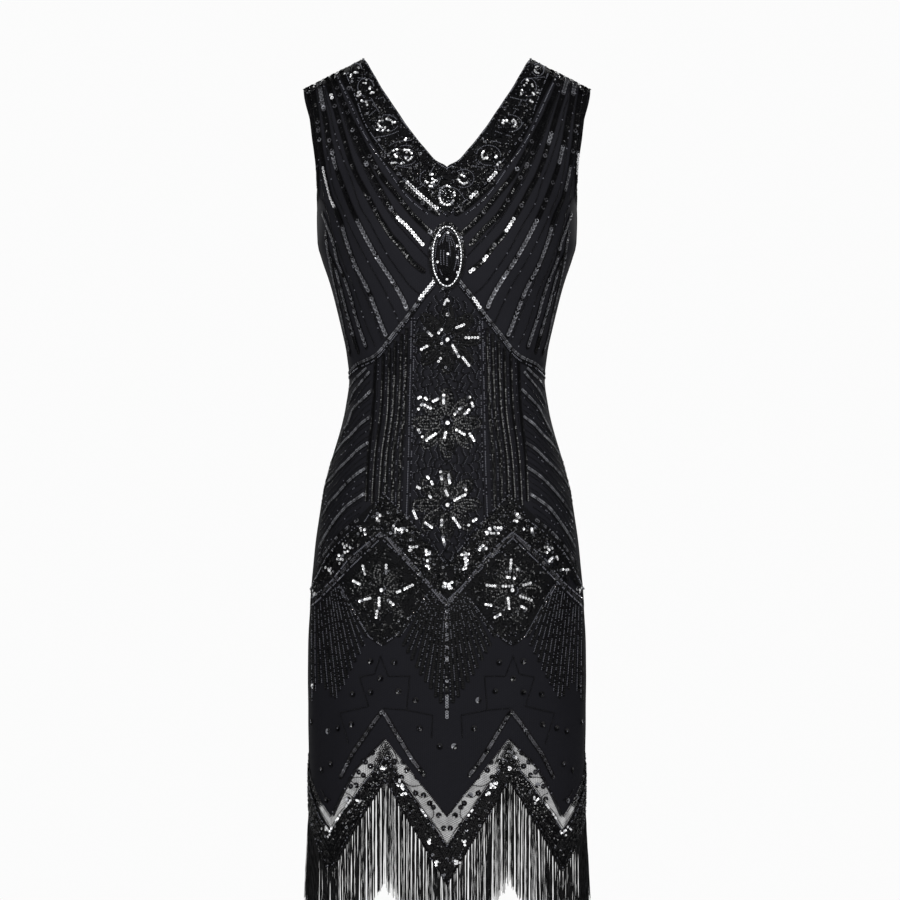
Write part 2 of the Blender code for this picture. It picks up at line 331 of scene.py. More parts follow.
def mirrored(places):
    """The same places on the other half."""
    half, height, share = places
    return 1 - half, height, share


def curve(points, closed=False):
    """A smooth line through charted pixels, as close points."""
    points = np.asarray(points, float)
    if closed:
        ends = np.vstack([points[-1], points, points[:2]])
    else:
        ends = np.vstack([2 * points[0] - points[1], points, 2 * points[-1] - points[-2]])
    t = np.linspace(0, 1, 24, endpoint=False)[:, None]
    parts = []
    for a, b, c, d in zip(ends[:-3], ends[1:-2], ends[2:-1], ends[3:]):
        bend = 2 * a - 5 * b + 4 * c - d
        parts.append(0.5 * (2 * b + (c - a) * t + bend * t**2 + (3 * b - a - 3 * c + d) * t**3))
    if not closed:
        parts.append(ends[-2][None, :])
    return np.vstack(parts)


def straight(points, closed=False):
    """A line of straight stretches through charted pixels, as close points."""
    points = np.asarray(points, float)
    if closed:
        points = np.vstack([points, points[:1]])
    run = distances(points)
    at = np.union1d(np.linspace(0, run[-1], max(int(run[-1] * 1.5), 3)), run)
    return np.stack([np.interp(at, run, points[:, k]) for k in (0, 1)], axis=-1)


def bent(points, closed=False):
    """Places along a smooth charted line."""
    return from_pixels(curve(points, closed))


def angled(points):
    """Places along straight charted stretches."""
    return from_pixels(straight(points))


def oval(x, y, wide, tall, count=20):
    """The pixels of an oval."""
    t = turns(count)
    return np.stack([x + wide * np.cos(t), y + tall * np.sin(t)], axis=-1)


def spaced(side, places, pitch, lift, closed=False):
    """Points, normals and directions at an even pitch along a line of places."""
    half, height, share = places
    line = on_cloth(side, half, height, share)[0] / MM
    run = distances(line)
    count = max(int(round(run[-1] / pitch)), 1)
    at = np.linspace(0, run[-1], count + 1)
    if closed:
        at = at[:-1]
    signed = np.interp(at, run, share * (2 * half - 1))
    tall = np.interp(at, run, height)
    which = np.where(np.abs(signed) < 1e-6, np.round(np.interp(at, run, half)), signed > 0).astype(int)
    points, normals = on_cloth(side, which, tall, np.abs(signed), lift)
    if len(points) < 2:
        return points, normals, np.tile([0.0, 0.0, -1.0], (len(points), 1))
    return points, normals, np.gradient(points, axis=0)


# Finishes


def hex_colour(code):
    """An sRGB hex colour as the linear colour that a shader takes."""
    parts = [int(code[i : i + 2], 16) / 255 for i in (1, 3, 5)]
    return (*(c / 12.92 if c <= 0.04045 else ((c + 0.055) / 1.055) ** 2.4 for c in parts), 1.0)


def add(material, kind, settings=None, inputs=None):
    """A node with its settings, its inputs set or linked from (node, output) pairs."""
    made = material.node_tree.nodes.new(kind)
    for name, value in (settings or {}).items():
        setattr(made, name, value)
    for name, value in (inputs or {}).items():
        if isinstance(value, tuple) and isinstance(value[0], bpy.types.Node):
            material.node_tree.links.new(value[0].outputs[value[1]], made.inputs[name])
        else:
            made.inputs[name].default_value = value
    return made


def blank(name):
    """A material with an empty node tree, and the coordinates on its piece in metres."""
    material = bpy.data.materials.new(name)
    material.use_nodes = True
    material.node_tree.nodes.clear()
    return material, (add(material, "ShaderNodeTexCoord"), "Object")


def finished(material, **inputs):
    """Closes a material with its Principled shader."""
    inputs = {name.replace("_", " "): value for name, value in inputs.items()}
    shader = add(material, "ShaderNodeBsdfPrincipled", {}, inputs)
    add(material, "ShaderNodeOutputMaterial", {}, {"Surface": (shader, "BSDF")})
    return material


def noise(material, place, scale, detail):
    inputs = {"Vector": place, "Scale": scale, "Detail": detail}
    return add(material, "ShaderNodeTexNoise", {}, inputs), "Fac"


def bands(material, place, scale, direction="X", distortion=0.0, detail=2.0):
    inputs = {"Vector": place, "Scale": scale, "Distortion": distortion, "Detail": detail}
    return add(material, "ShaderNodeTexWave", {"bands_direction": direction}, inputs), "Fac"


def mix(material, share, first, second):
    return add(material, "ShaderNodeMixRGB", {}, {"Fac": share, "Color1": first, "Color2": second}), "Color"


def ramp(material, value, low, high, start=0.0, end=1.0):
    inputs = {"Value": value, "From Min": low, "From Max": high, "To Min": start, "To Max": end}
    return add(material, "ShaderNodeMapRange", {}, inputs), "Result"


def maths(material, operation, *values, clamp=False):
    settings = {"operation": operation, "use_clamp": clamp}
    return add(material, "ShaderNodeMath", settings, dict(enumerate(values))), "Value"


def bump(material, height, strength, distance):
    inputs = {"Height": height, "Strength": strength, "Distance": distance}
    return add(material, "ShaderNodeBump", {}, inputs), "Normal"


def shades(material, place, scale, dark, light, detail=3.0):
    """A colour that drifts between two shades, in patches of about one over the scale in metres."""
    return mix(material, noise(material, place, scale, detail), hex_colour(dark), hex_colour(light))


def glossy(material, colour, metallic, gloss, shine):
    """Closes the material of a hard, shiny thing."""
    inputs = {"Metallic": metallic, "Roughness": gloss, "Specular_IOR_Level": shine}
    return finished(material, Base_Color=colour, **inputs)


NET_OPENING = 2.4
BANDS_PER_METRE = 0.314  # the scale at which one band takes a metre


def tulle_threads(material):
    """Threads of hexagon net, as 0 in a hole to 1 on a thread."""
    place = add(material, "ShaderNodeUVMap", {"uv_map": "cloth"}), "UV"
    ways = []
    for turn in (0, 60, 120):
        inputs = {"Vector": place, "Rotation": (0, 0, math.radians(turn))}
        turned = add(material, "ShaderNodeMapping", {}, inputs), "Vector"
        ways.append(bands(material, turned, BANDS_PER_METRE / (NET_OPENING * MM)))
    crossed = maths(material, "MULTIPLY", ways[0], ways[1])
    return maths(material, "MULTIPLY_ADD", ways[2], 0.55, crossed, clamp=True)


def net_over_lining():
    # Nylon tulle drawn over satin: a soft charcoal with the net's grain, drawn coarser than real tulle.
    material, place = blank("nylon_tulle_over_satin")
    threads = tulle_threads(material)
    lined = shades(material, place, 26.0, "#08080b", "#0f0f13")
    unlined_and_painted_top_light = shades(material, place, 26.0, "#111114", "#1a1a1e")
    height = add(material, "ShaderNodeSeparateXYZ", {}, {"Vector": place}), "Z"
    # Lighter upwards from a height of -0.6 m to -0.3 m: partly the tone of the unlined bodice's tulle,
    # partly painted light from above.
    ground = mix(material, ramp(material, height, -0.6, -0.3), lined, unlined_and_painted_top_light)
    colour = mix(material, threads, ground, hex_colour("#121216"))
    grain = bump(material, threads, 0.25, 0.0003)
    return finished(material, Base_Color=colour, Roughness=0.78, Specular_IOR_Level=0.06, Normal=grain)


def sheer_net():
    # Knitted nylon tulle on its own: a grey veil that shows what hangs behind it.
    material, place = blank("nylon_tulle_sheer")
    depth = ramp(material, noise(material, place, 70.0, 2.0), 0.35, 0.65, 0.15, 0.38)
    cover = maths(material, "MULTIPLY_ADD", tulle_threads(material), 0.35, depth)
    colour = shades(material, place, 40.0, "#1a1a1d", "#2a2a2e")
    return finished(material, Base_Color=colour, Roughness=0.7, Specular_IOR_Level=0.2, Alpha=cover)


def satin():
    # Acetate satin, woven: a smooth black with a faint sheen and fine warp lines.
    material, place = blank("acetate_satin")
    colour = shades(material, place, 30.0, "#0c0c0e", "#151517")
    warp = bump(material, bands(material, place, 260.0, distortion=1.5, detail=1.0), 0.12, 0.0002)
    return finished(material, Base_Color=colour, Roughness=0.5, Specular_IOR_Level=0.15, Normal=warp)


def stitched_ground():
    # Tulle worked full of thread and beads: almost black, with the lumps of the stitches between the beads.
    material, place = blank("stitched_tulle_ground")
    colour = shades(material, place, 90.0, "#020203", "#070709")
    lumps = add(material, "ShaderNodeTexVoronoi", {}, {"Vector": place, "Scale": 480.0}), "Distance"
    uneven = bump(material, lumps, 0.6, 0.0008)
    return finished(material, Base_Color=colour, Roughness=0.6, Specular_IOR_Level=0.06, Normal=uneven)


def sequin_film(name, dark, light, metallic, low, high, shine=0.5):
    # Polyester film, stamped and cupped: each one catches the light by itself, so its gloss drifts.
    material, place = blank(name)
    colour = shades(material, place, 160.0, dark, light, 1.0)
    gloss = ramp(material, noise(material, place, 210.0, 1.0), 0.3, 0.7, low, high)
    return glossy(material, colour, metallic, gloss, shine)


def bead_glass(name, dark, light, metallic, gloss, shine=0.5):
    # Pressed glass: small bright highlights on a deep body, silver-lined where the name says so; the
    # silver-lined beads are painted glints.
    material, place = blank(name)
    colour = shades(material, place, 240.0, dark, light, 1.0)
    return glossy(material, colour, metallic, gloss, shine)


def rayon():
    # Twisted rayon: a soft black with a low sheen along the strand and the slant of its two plies.
    material, place = blank("rayon_fringe_thread")
    colour = shades(material, place, 130.0, "#060607", "#111113")
    slant = bump(material, bands(material, place, 190.0, "DIAGONAL", 0.6), 0.4, 0.0004)
    return finished(material, Base_Color=colour, Roughness=0.55, Specular_IOR_Level=0.2, Normal=slant)


NET, SHEER, SATIN, GROUND, RAYON = net_over_lining(), sheer_net(), satin(), stitched_ground(), rayon()
# The black film and the jet glass are the work's own colour. The silver film and the silver-lined glass are
# painted glints; the gunmetal, smoke and hematite are partly grey beadwork and partly painted sheen.
FILMS = (
    sequin_film("polyester_film_black", "#030304", "#070708", 0.0, 0.1, 0.3, 0.18),
    sequin_film("polyester_film_gunmetal_and_painted_sheen", "#4c4d51", "#77787d", 0.4, 0.3, 0.5),
    sequin_film("polyester_film_silver_painted_glint", "#d6d7da", "#f6f6f7", 0.5, 0.2, 0.4),
    sequin_film("polyester_film_smoke_and_painted_dim_sheen", "#2b2b2e", "#404044", 0.4, 0.45, 0.6, 0.3),
)
GLASSES = (
    bead_glass("pressed_glass_jet", "#040405", "#080809", 0.0, 0.25, 0.16),
    bead_glass("pressed_glass_hematite_and_painted_sheen", "#484951", "#707179", 0.5, 0.4),
    bead_glass("pressed_glass_silver_lined_painted_glint", "#c4c6ca", "#f2f3f4", 0.85, 0.2),
)
BLACK, GREY_AND_PAINTED_SHEEN, PAINTED_GLINT_SILVER, SMOKE_AND_PAINTED_DIM_SHEEN = 0, 1, 2, 3

# Making and joining the pieces


def keep(piece, nodes=()):
    """Puts a finished piece on the dress."""
    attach(piece, "root")
    if nodes:
        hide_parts(*nodes)
    return piece


def placed(name, data):
    """A new object in the scene."""
    thing = bpy.data.objects.new(name, data)
    bpy.context.collection.objects.link(thing)
    return thing


def tube_faces(index):
    """Faces between rows of corners that go round."""
    beside = np.roll(index, -1, axis=-1)
    corners = [index[..., :-1, :], beside[..., :-1, :], beside[..., 1:, :], index[..., 1:, :]]
    return np.stack(corners, axis=-1).reshape(-1, 4)


def mesh_piece(name, points, faces, materials, finish=None, smooth=True):
    """A mesh from arrays of points in metres and of faces that all have as many corners."""
    mesh = bpy.data.meshes.new(name)
    faces = np.asarray(faces, np.int32)
    mesh.vertices.add(len(points))
    mesh.vertices.foreach_set("co", np.asarray(points, np.float32).ravel())
    mesh.loops.add(faces.size)
    mesh.loops.foreach_set("vertex_index", faces.ravel())
    mesh.polygons.add(len(faces))
    mesh.polygons.foreach_set("loop_start", np.arange(0, faces.size, faces.shape[1], dtype=np.int32))
    for material in materials:
        mesh.materials.append(material)
    if finish is not None:
        mesh.polygons.foreach_set("material_index", np.asarray(finish, np.int32))
    mesh.polygons.foreach_set("use_smooth", np.full(len(faces), smooth))
    mesh.update(calc_edges=True)
    mesh.validate()
    return placed(name, mesh)


def cloth_strip(name, side, heights, shares, lift, materials, finish=None):
    """Cloth over both halves of a side, from grids of heights and shares, joined at the centre line."""
    heights, shares = np.broadcast_arrays(heights, shares)
    rows, columns = heights.shape
    points, marks = [], []
    for half in HALVES:
        points.append(on_cloth(side, half, heights, shares, lift)[0].reshape(-1, 3))
        across = shares * width_at(side, heights) * (2 * half - 1)
        marks.append(np.stack([across, heights], axis=-1).reshape(-1, 2) * MM)
    index = np.arange(rows * columns).reshape(rows, columns)
    corners = [index[:-1, :-1], index[:-1, 1:], index[1:, 1:], index[1:, :-1]]
    quads = np.stack(corners, axis=-1).reshape(-1, 4)
    turned = quads[:, ::-1]
    first, second = (quads, turned) if side == "back" else (turned, quads)
    faces = np.vstack([first[:, ::-1], second[:, ::-1] + rows * columns])
    if finish is not None:
        finish = np.tile(np.repeat(finish, columns - 1), 2)
    piece = mesh_piece(name, np.vstack(points), faces, materials, finish)
    layer = piece.data.uv_layers.new(name="cloth")
    corner_points = np.zeros(len(piece.data.loops), np.int32)
    piece.data.loops.foreach_get("vertex_index", corner_points)
    layer.data.foreach_set("uv", np.vstack(marks)[corner_points].astype(np.float32).ravel())
    shaped = bmesh.new()
    shaped.from_mesh(piece.data)
    bmesh.ops.remove_doubles(shaped, verts=shaped.verts, dist=0.02 * MM)
    shaped.to_mesh(piece.data)
    shaped.free()
    return piece


EDGE_RADIUS = 1.0
EDGE_SIDES = 6


def edge_roll(name, lines):
    """A narrow rolled edge along lines of points, in metres."""
    turn = turns(EDGE_SIDES)
    points, faces = [], []
    for line in lines:
        start = sum(len(p) for p in points)
        ahead = unit(np.gradient(line, axis=0))
        first = unit(np.cross(ahead, [0.3, 1.0, 0.2]))
        second = np.cross(ahead, first)
        uneven = EDGE_RADIUS * MM * (1 + 0.12 * np.sin(np.arange(len(line)) * 0.9))[:, None, None]
        ring = first[:, None] * np.cos(turn)[None, :, None] + second[:, None] * np.sin(turn)[None, :, None]
        points.append((line[:, None, :] + ring * uneven).reshape(-1, 3))
        faces.append(tube_faces(start + np.arange(len(line) * EDGE_SIDES).reshape(-1, EDGE_SIDES)))
    return mesh_piece(name, np.vstack(points), np.vstack(faces), [GROUND])


def disc(corners, hole, cup):
    """A round sequin one across, with its corners, the share of its hole and how far its middle is sunk."""
    turn = turns(corners)
    rim = np.stack([0.5 * np.cos(turn), 0.5 * np.sin(turn), np.zeros(corners)], axis=-1)
    index = np.arange(corners)
    after = np.roll(index, -1)
    inner = rim * [hole, hole, 0] - [0, 0, cup]
    points = np.vstack([rim, inner])
    outer_faces = np.stack([index, after, corners + index], axis=-1)
    inner_faces = np.stack([after, corners + after, corners + index], axis=-1)
    return points, np.vstack([outer_faces, inner_faces])


def seed():
    """A seed bead one across, a little flat along its thread."""
    sides = 4
    turn = turns(sides)
    ring = np.stack([0.42 * np.cos(turn), 0.5 * np.sin(turn), np.zeros(sides)], axis=-1)
    points = np.vstack([ring, [[0, 0, 0.42]], [[0, 0, -0.42]]])
    index = np.arange(sides)
    after = np.roll(index, -1)
    top = np.stack([index, after, np.full(sides, sides)], axis=-1)
    bottom = np.stack([after, index, np.full(sides, sides + 1)], axis=-1)
    return points, np.vstack([top, bottom])


def bugle():
    """A tube bead one long and one thick, with closed ends."""
    turn = turns(6)
    ring = np.stack([np.zeros(6), 0.5 * np.cos(turn), 0.5 * np.sin(turn)], axis=-1)
    points = np.vstack([ring - [0.5, 0, 0], ring + [0.5, 0, 0], [[-0.5, 0, 0]], [[0.5, 0, 0]]])
    index = np.arange(6)
    after = np.roll(index, -1)
    faces = [
        np.stack([index, after, 6 + index], axis=-1),
        np.stack([after, 6 + after, 6 + index], axis=-1),
        np.stack([after, index, np.full(6, 12)], axis=-1),
        np.stack([6 + index, 6 + after, np.full(6, 13)], axis=-1),
    ]
    return points, np.vstack(faces)


SHAPES = {
    "sequin": (disc(7, 0.42, 0.045), FILMS, False),
    "paillette": (disc(12, 0.2, 0.1), FILMS, False),
    "seed": (seed(), GLASSES, True),
    "bugle": (bugle(), GLASSES, True),
}
sewn = {}
PAINTED_GLINT_SIZE = 0.9  # of the others, so that dark shows between the painted glints


def sew(region, kind, side, points, normals, tangents, size, lean=0.0, wobble=6.0, finish=BLACK):
    """Puts small things at these points: size in millimetres, lean and wobble in degrees."""
    count = len(points)
    up = normals
    ahead = unit(tangents - up * np.sum(tangents * up, axis=1, keepdims=True))
    beside = np.cross(up, ahead)
    tip = np.radians(lean + chance.normal(0, wobble, count))
    roll = np.radians(chance.normal(0, wobble, count))
    tipped = ahead * np.cos(tip)[:, None] - up * np.sin(tip)[:, None]
    stood = ahead * np.sin(tip)[:, None] + up * np.cos(tip)[:, None]
    rolled = beside * np.cos(roll)[:, None] + stood * np.sin(roll)[:, None]
    stood = -beside * np.sin(roll)[:, None] + stood * np.cos(roll)[:, None]
    axes = np.stack([tipped, rolled, stood], axis=-1)
    size = np.broadcast_to(np.asarray(size, float), (count, 3))
    finish = np.broadcast_to(np.asarray(finish, int), (count,))
    size = size * np.where(finish == PAINTED_GLINT_SILVER, PAINTED_GLINT_SIZE, 1.0)[:, None]
    sewn.setdefault((region, kind, side), []).append((points, axes, size * MM, finish))


def built(region, kind, side):
    """Joins all the small things of one kind in a region as one mesh."""
    (shape_points, shape_faces), materials, smooth = SHAPES[kind]
    parts = sewn[region, kind, side]
    points, axes, size, finish = (np.concatenate([p[k] for p in parts]) for k in range(4))
    scaled = shape_points[None, :, :] * size[:, None, :]
    corners = points[:, None, :] + np.einsum("nij,nkj->nki", axes, scaled)
    offsets = np.arange(len(points))[:, None, None] * len(shape_points)
    faces = (shape_faces[None, :, :] + offsets).reshape(-1, 3)
    finish = np.repeat(finish, len(shape_faces))
    return mesh_piece(f"{region}_{kind}s_{side}", corners.reshape(-1, 3), faces, materials, finish, smooth)


def runs(share, length, tone=GREY_AND_PAINTED_SHEEN):
    """A finish for rows: black, with short runs of another tone over this share of the row; silver runs are
    painted glints, grey ones grey beads and painted sheen.
    """

    def choose(points, half):
        count = len(points)
        finish = np.full(count, BLACK)
        for start in chance.random(int(round(count * share / length + chance.random() * 0.5))) * count:
            finish[int(start) : int(start + length * (0.5 + chance.random()))] = tone
        return finish

    return choose


def mixed(*weights):
    """A finish drawn one by one from black, grey with painted sheen, silver painted glints and smoke with
    painted dim sheen, by these weights.
    """
    return lambda points, half: chance.choice(len(weights), len(points), p=weights)


def seen_level(points):
    """The pixel heights at which points show, or would show if the back were the front."""
    nearer = CAMERA_DISTANCE / (CAMERA_DISTANCE - np.abs(points[:, 1]) / MM)
    return SHOULDER_PIXEL - (CAMERA_HEIGHT + (points[:, 2] / MM - CAMERA_HEIGHT) * nearer) / PIXEL


def lit(*spans, base=mixed(0.94, 0.01, 0.0, 0.05)):
    """A finish painted with the highlight of a lit stretch, the tone and smoke in turn, between two pixel
    heights of one half, or of both where the half is None.
    """

    def choose(points, half):
        finish = base(points, half)
        level = seen_level(points)
        for wanted, top, low, tone in spans:
            if wanted in (None, half):
                shown = (level > top) & (level < low) & (chance.random(len(level)) < 0.9)
                finish[shown] = np.where(np.arange(len(level)) % 2, tone, SMOKE_AND_PAINTED_DIM_SHEEN)[shown]
        return finish

    return choose


def row(region, kind, places, pitch, size, lift, finish=None, both=True, closed=False, sides=SIDES, **hold):
    """Sews a row on both sides of the dress, and on both halves unless told otherwise."""
    for side in sides:
        for line in (places, mirrored(places)) if both else (places,):
            points, normals, tangents = spaced(side, line, pitch, lift, closed)
            chosen = finish or BLACK
            if callable(finish):
                chosen = finish(points, int(line[0][len(line[0]) // 2]))
            sew(region, kind, side, points, normals, tangents, size, finish=chosen, **hold)


RING = 5.0
RING_PITCH = 4.3
RING_LIFT = 2.0


def glint_chain(line, spans):
    """Touching silver rings on top of a stripe, painted glints, each span between two pixel heights of one
    half.
    """
    for side in SIDES:
        for half, top, low in spans:
            places = line if line[0][0] == half else mirrored(line)
            found = spaced(side, places, RING_PITCH, RING_LIFT)
            level = seen_level(found[0])
            shown = (level > top) & (level < low)
            found = [part[shown] for part in found]
            sew("bodice", "sequin", side, *found, RING, lean=-4, wobble=6, finish=PAINTED_GLINT_SILVER)


stitched = {side: [] for side in SIDES}


def backing(places, width, lift=0.55, both=True):
    """A ribbon of close stitching under a row."""
    for side in SIDES:
        for line in (places, mirrored(places)) if both else (places,):
            points, normals, tangents = spaced(side, line, 5.0, lift)
            across = unit(np.cross(tangents, normals))
            way = np.sign(np.sum(np.cross(tangents, across) * normals, axis=1, keepdims=True))
            across *= way * width / 2 * MM
            stitched[side].append(np.stack([points - across, points + across], axis=1))


def patch(upper, lower, steps, lift=0.45):
    """Close stitching between two charted lines that have as many points."""
    upper, lower = np.array(upper, float), np.array(lower, float)
    lines = [upper + (lower - upper) * k / steps for k in range(steps + 1)]
    for side, half in QUARTERS:
        rows = [on_cloth(side, half, *from_pixels(line)[1:], lift)[0] for line in lines]
        turned = (side == "front") == (half == 0)
        for above, below in zip(rows[:-1], rows[1:]):
            pair = (above, below) if turned else (below, above)
            stitched[side].append(np.stack(pair, axis=1))


def ribbons(side):
    """Joins the backing ribbons of a side as one mesh."""
    faces, start = [], 0
    for strip in stitched[side]:
        index = start + np.arange(len(strip) * 2).reshape(-1, 2)
        faces.append(np.stack([index[:-1, 0], index[1:, 0], index[1:, 1], index[:-1, 1]], axis=-1))
        start += len(strip) * 2
    points = np.vstack([strip.reshape(-1, 3) for strip in stitched[side]])
    return mesh_piece(f"row_stitching_{side}", points, np.vstack(faces), [GROUND])


# The net, its lining and the worked bands
SHEET_COLUMNS = 36
shares = np.linspace(0, 1, SHEET_COLUMNS + 1)


def down(upper, lower, rows):
    """Rows of heights between an upper and a lower line."""
    t = np.linspace(0, 1, rows + 1)[:, None]
    upper, lower = (np.broadcast_to(height, shares.shape) for height in (upper, lower))
    return upper * (1 - t) + lower * t


BAND_NODES = {"neck": "neck_band", "girdle": "girdle", "hem": "hem_band"}
nets, linings, grounds = {}, {}, {}
for side in SIDES:
    lining_line = zigzag(LINING_EDGE[side], shares)
    body = down(SHOULDER, SKIRT_START, 110)
    skirt = down(SKIRT_START, lining_line, 46)
    sheer = down(lining_line, zigzag(HEM[side], shares, 2), 14)[1:]
    finish = np.repeat([0, 1], [len(body) + len(skirt) - 2, len(sheer)])
    heights = np.vstack([body, skirt[1:], sheer])
    net = cloth_strip(f"net_{side}", side, heights, shares, 0.0, [NET, SHEER], finish)
    nets[side] = keep(net, [side])
    lining = cloth_strip(f"satin_lining_{side}", side, skirt, shares, -1.7, [SATIN])
    linings[side] = keep(lining, [f"lining_{side}"])

for side in SIDES:
    upper, lower = (zigzag(HEM[side], shares, k) for k in (1, 2))
    heights = np.linspace(SHOULDER, BAND_TIP[0], 64)
    tip = np.interp(heights, (BAND_TIP[0], UNDERARM), (BAND_TIP[1], 25.5))
    outer = np.where(heights > UNDERARM, form("band", heights), tip)
    outer_share = np.zeros(len(heights))
    for k, height in enumerate(heights):
        x = np.abs(on_cloth(side, 1, height, grid_shares)[0][:, 0]) / MM
        outer_share[k] = np.interp(outer[k], x, grid_shares)
    columns = np.union1d(shares, [corner[0] for corner in GIRDLE])
    t = np.linspace(0, 1, 9)[:, None]
    worked = {
        "neck": (heights[:, None], np.linspace(0, 1, 11)[None, :] * outer_share[:, None]),
        "girdle": (zigzag(GIRDLE, columns) * (1 - t) + zigzag(GIRDLE, columns, 2) * t, columns),
        "hem": (down(upper, lower, 8), shares),
    }
    grounds[side] = []
    for region, (heights, across) in worked.items():
        band = cloth_strip(f"{region}_ground_{side}", side, heights, across, 1.0, [GROUND])
        grounds[side].append(keep(band, [f"{BAND_NODES[region]}_{side}"]))
    edges = [
        on_cloth(side, half, np.linspace(top, low, count), share, lift)[0]
        for top, low, count, share, lift in (
            (SHOULDER, NECK_POINT, 44, 0.0, 0.2),
            (SHOULDER, UNDERARM, 48, 1.0, 0.2),
            (UNDERARM, HEM[side][-1][2], 90, 1.0, 0.0),
        )
        for half in HALVES
    ]
    grounds[side].append(keep(edge_roll(f"edge_roll_{side}", edges)))

# Sequined stripes of the bodice and hips, charted on the left half
PITCH = 2.8
STRIPE = 5.6
STRIPE_WIDTH = 7.0
STRIPE_LIFT = 1.1
# Each stripe: its spans (half, top and bottom pixel, tone), where grey is painted sheen and silver painted
# glints, then its charted pixels.
BODICE_STRIPES = (
    (((1, 153, 176, PAINTED_GLINT_SILVER),), ((309, 92), (313, 120), (316, 150), (318, 176), (319, 196))),
    (
        ((0, 165, 206, PAINTED_GLINT_SILVER), (1, 166, 190, GREY_AND_PAINTED_SHEEN), (None, 225, 336, GREY_AND_PAINTED_SHEEN)),
        ((313, 89), (317, 112), (320, 138), (324, 165), (331, 196), (335, 206), (341, 220), (347, 241),
         (356, 265), (366, 284), (373, 300), (382, 324), (387, 336)),
    ),
    (
        ((0, 82, 111, GREY_AND_PAINTED_SHEEN), (0, 150, 167, GREY_AND_PAINTED_SHEEN), (1, 80, 93, GREY_AND_PAINTED_SHEEN), (1, 147, 165, GREY_AND_PAINTED_SHEEN),
         (None, 220, 309, GREY_AND_PAINTED_SHEEN)),
        ((320, 86), (323, 103), (327, 122), (330, 140), (333, 152), (337, 168), (344, 188), (351, 206),
         (358, 221), (369, 242), (380, 261), (392, 279), (403, 298), (407, 308)),
    ),
    (
        ((1, 216, 232, PAINTED_GLINT_SILVER), (1, 254, 261, PAINTED_GLINT_SILVER), (1, 269, 276, PAINTED_GLINT_SILVER), (0, 94, 99, PAINTED_GLINT_SILVER),
         (1, 78, 94, GREY_AND_PAINTED_SHEEN), (1, 132, 144, GREY_AND_PAINTED_SHEEN)),
        ((328, 82), (332, 96), (337, 112), (341, 126), (346, 143), (351, 160), (358, 177), (365, 190),
         (375, 209), (386, 227), (392, 236), (401, 246), (412, 261), (424, 271)),
    ),
    (
        ((0, 215, 246, PAINTED_GLINT_SILVER),),
        ((334, 79), (340, 94), (347, 112), (353, 130), (360, 148), (367, 164), (376, 181), (386, 199),
         (396, 215), (410, 229), (423, 244)),
    ),
    (
        ((0, 181, 210, PAINTED_GLINT_SILVER), (1, 172, 180, PAINTED_GLINT_SILVER), (1, 190, 197, PAINTED_GLINT_SILVER)),
        ((343, 76), (350, 90), (358, 106), (366, 124), (376, 143), (387, 160), (396, 170), (406, 181),
         (424, 198), (437, 209)),
    ),
    ((), ((400, 182), (412, 193), (424, 204), (438, 214))),
    (
        (),
        ((344, 102), (350, 117), (358, 132), (366, 148), (375, 165), (384, 179), (394, 191), (405, 205),
         (414, 216), (424, 226), (434, 235)),
    ),
    (
        ((None, 209, 346, GREY_AND_PAINTED_SHEEN),),
        ((323, 213), (329, 230), (334, 244), (338, 261), (345, 278), (352, 298), (356, 314), (361, 329),
         (367, 347)),
    ),
    (
        ((None, 268, 336, GREY_AND_PAINTED_SHEEN),),
        ((328, 248), (331, 256), (336, 268), (341, 286), (346, 305), (354, 333), (359, 352)),
    ),
    (
        ((None, 225, 350, GREY_AND_PAINTED_SHEEN),),
        ((326, 232), (328, 244), (330, 260), (334, 280), (341, 310), (347, 338), (352, 354)),
    ),
)
BEAD_LINES = (
    ((311, 91), (315, 118), (318, 146), (321, 172), (325, 196)),
    ((318, 88), (321, 108), (325, 128), (328, 150), (331, 172), (335, 190), (342, 207), (350, 226),
     (361, 248), (373, 269), (384, 288), (394, 309), (400, 323)),
    ((324, 84), (327, 100), (330, 109), (333, 124), (338, 142), (342, 154), (346, 165), (351, 177),
     (357, 196), (361, 207), (370, 222), (383, 246), (391, 259), (401, 273), (410, 285), (420, 294)),
    ((331, 80), (337, 96), (343, 113), (349, 130), (355, 146), (362, 162), (371, 181), (382, 200),
     (394, 219), (405, 232), (416, 244), (428, 257)),
    ((338, 77), (345, 91), (354, 111), (363, 131), (373, 148), (384, 163), (394, 178), (401, 188),
     (412, 201), (428, 214)),
    ((323, 199), (329, 214), (332, 230), (341, 255), (346, 269), (354, 286), (361, 307), (369, 330),
     (376, 346)),
    ((335, 212), (339, 226), (344, 242), (351, 260), (360, 282), (368, 300), (376, 320), (383, 340)),
    ((325, 232), (329, 246), (333, 266), (338, 286), (344, 306), (351, 330), (356, 348)),
)
NECK_LINE = BEAD_LINES[4]  # the light one, beside the neck band
for spans, stripe in BODICE_STRIPES:
    if stripe[0][1] < 100:
        stripe = ((stripe[0][0] - 1, stripe[0][1] - 5), *stripe)
    line = bent(stripe)
    backing(line, STRIPE_WIDTH)
    painted_sheen_spans = [span for span in spans if span[3] != PAINTED_GLINT_SILVER]
    row("bodice", "sequin", line, PITCH, STRIPE, STRIPE_LIFT, lit(*painted_sheen_spans), lean=-6, wobble=4)
    glint_chain(line, [span[:3] for span in spans if span[3] == PAINTED_GLINT_SILVER])
for stripe in BEAD_LINES:
    tones = mixed(0.25, 0.72, 0.03) if stripe is NECK_LINE else mixed(0.94, 0.06)
    row("bodice", "seed", bent(stripe), 2.2, 2.3, 0.9, tones)

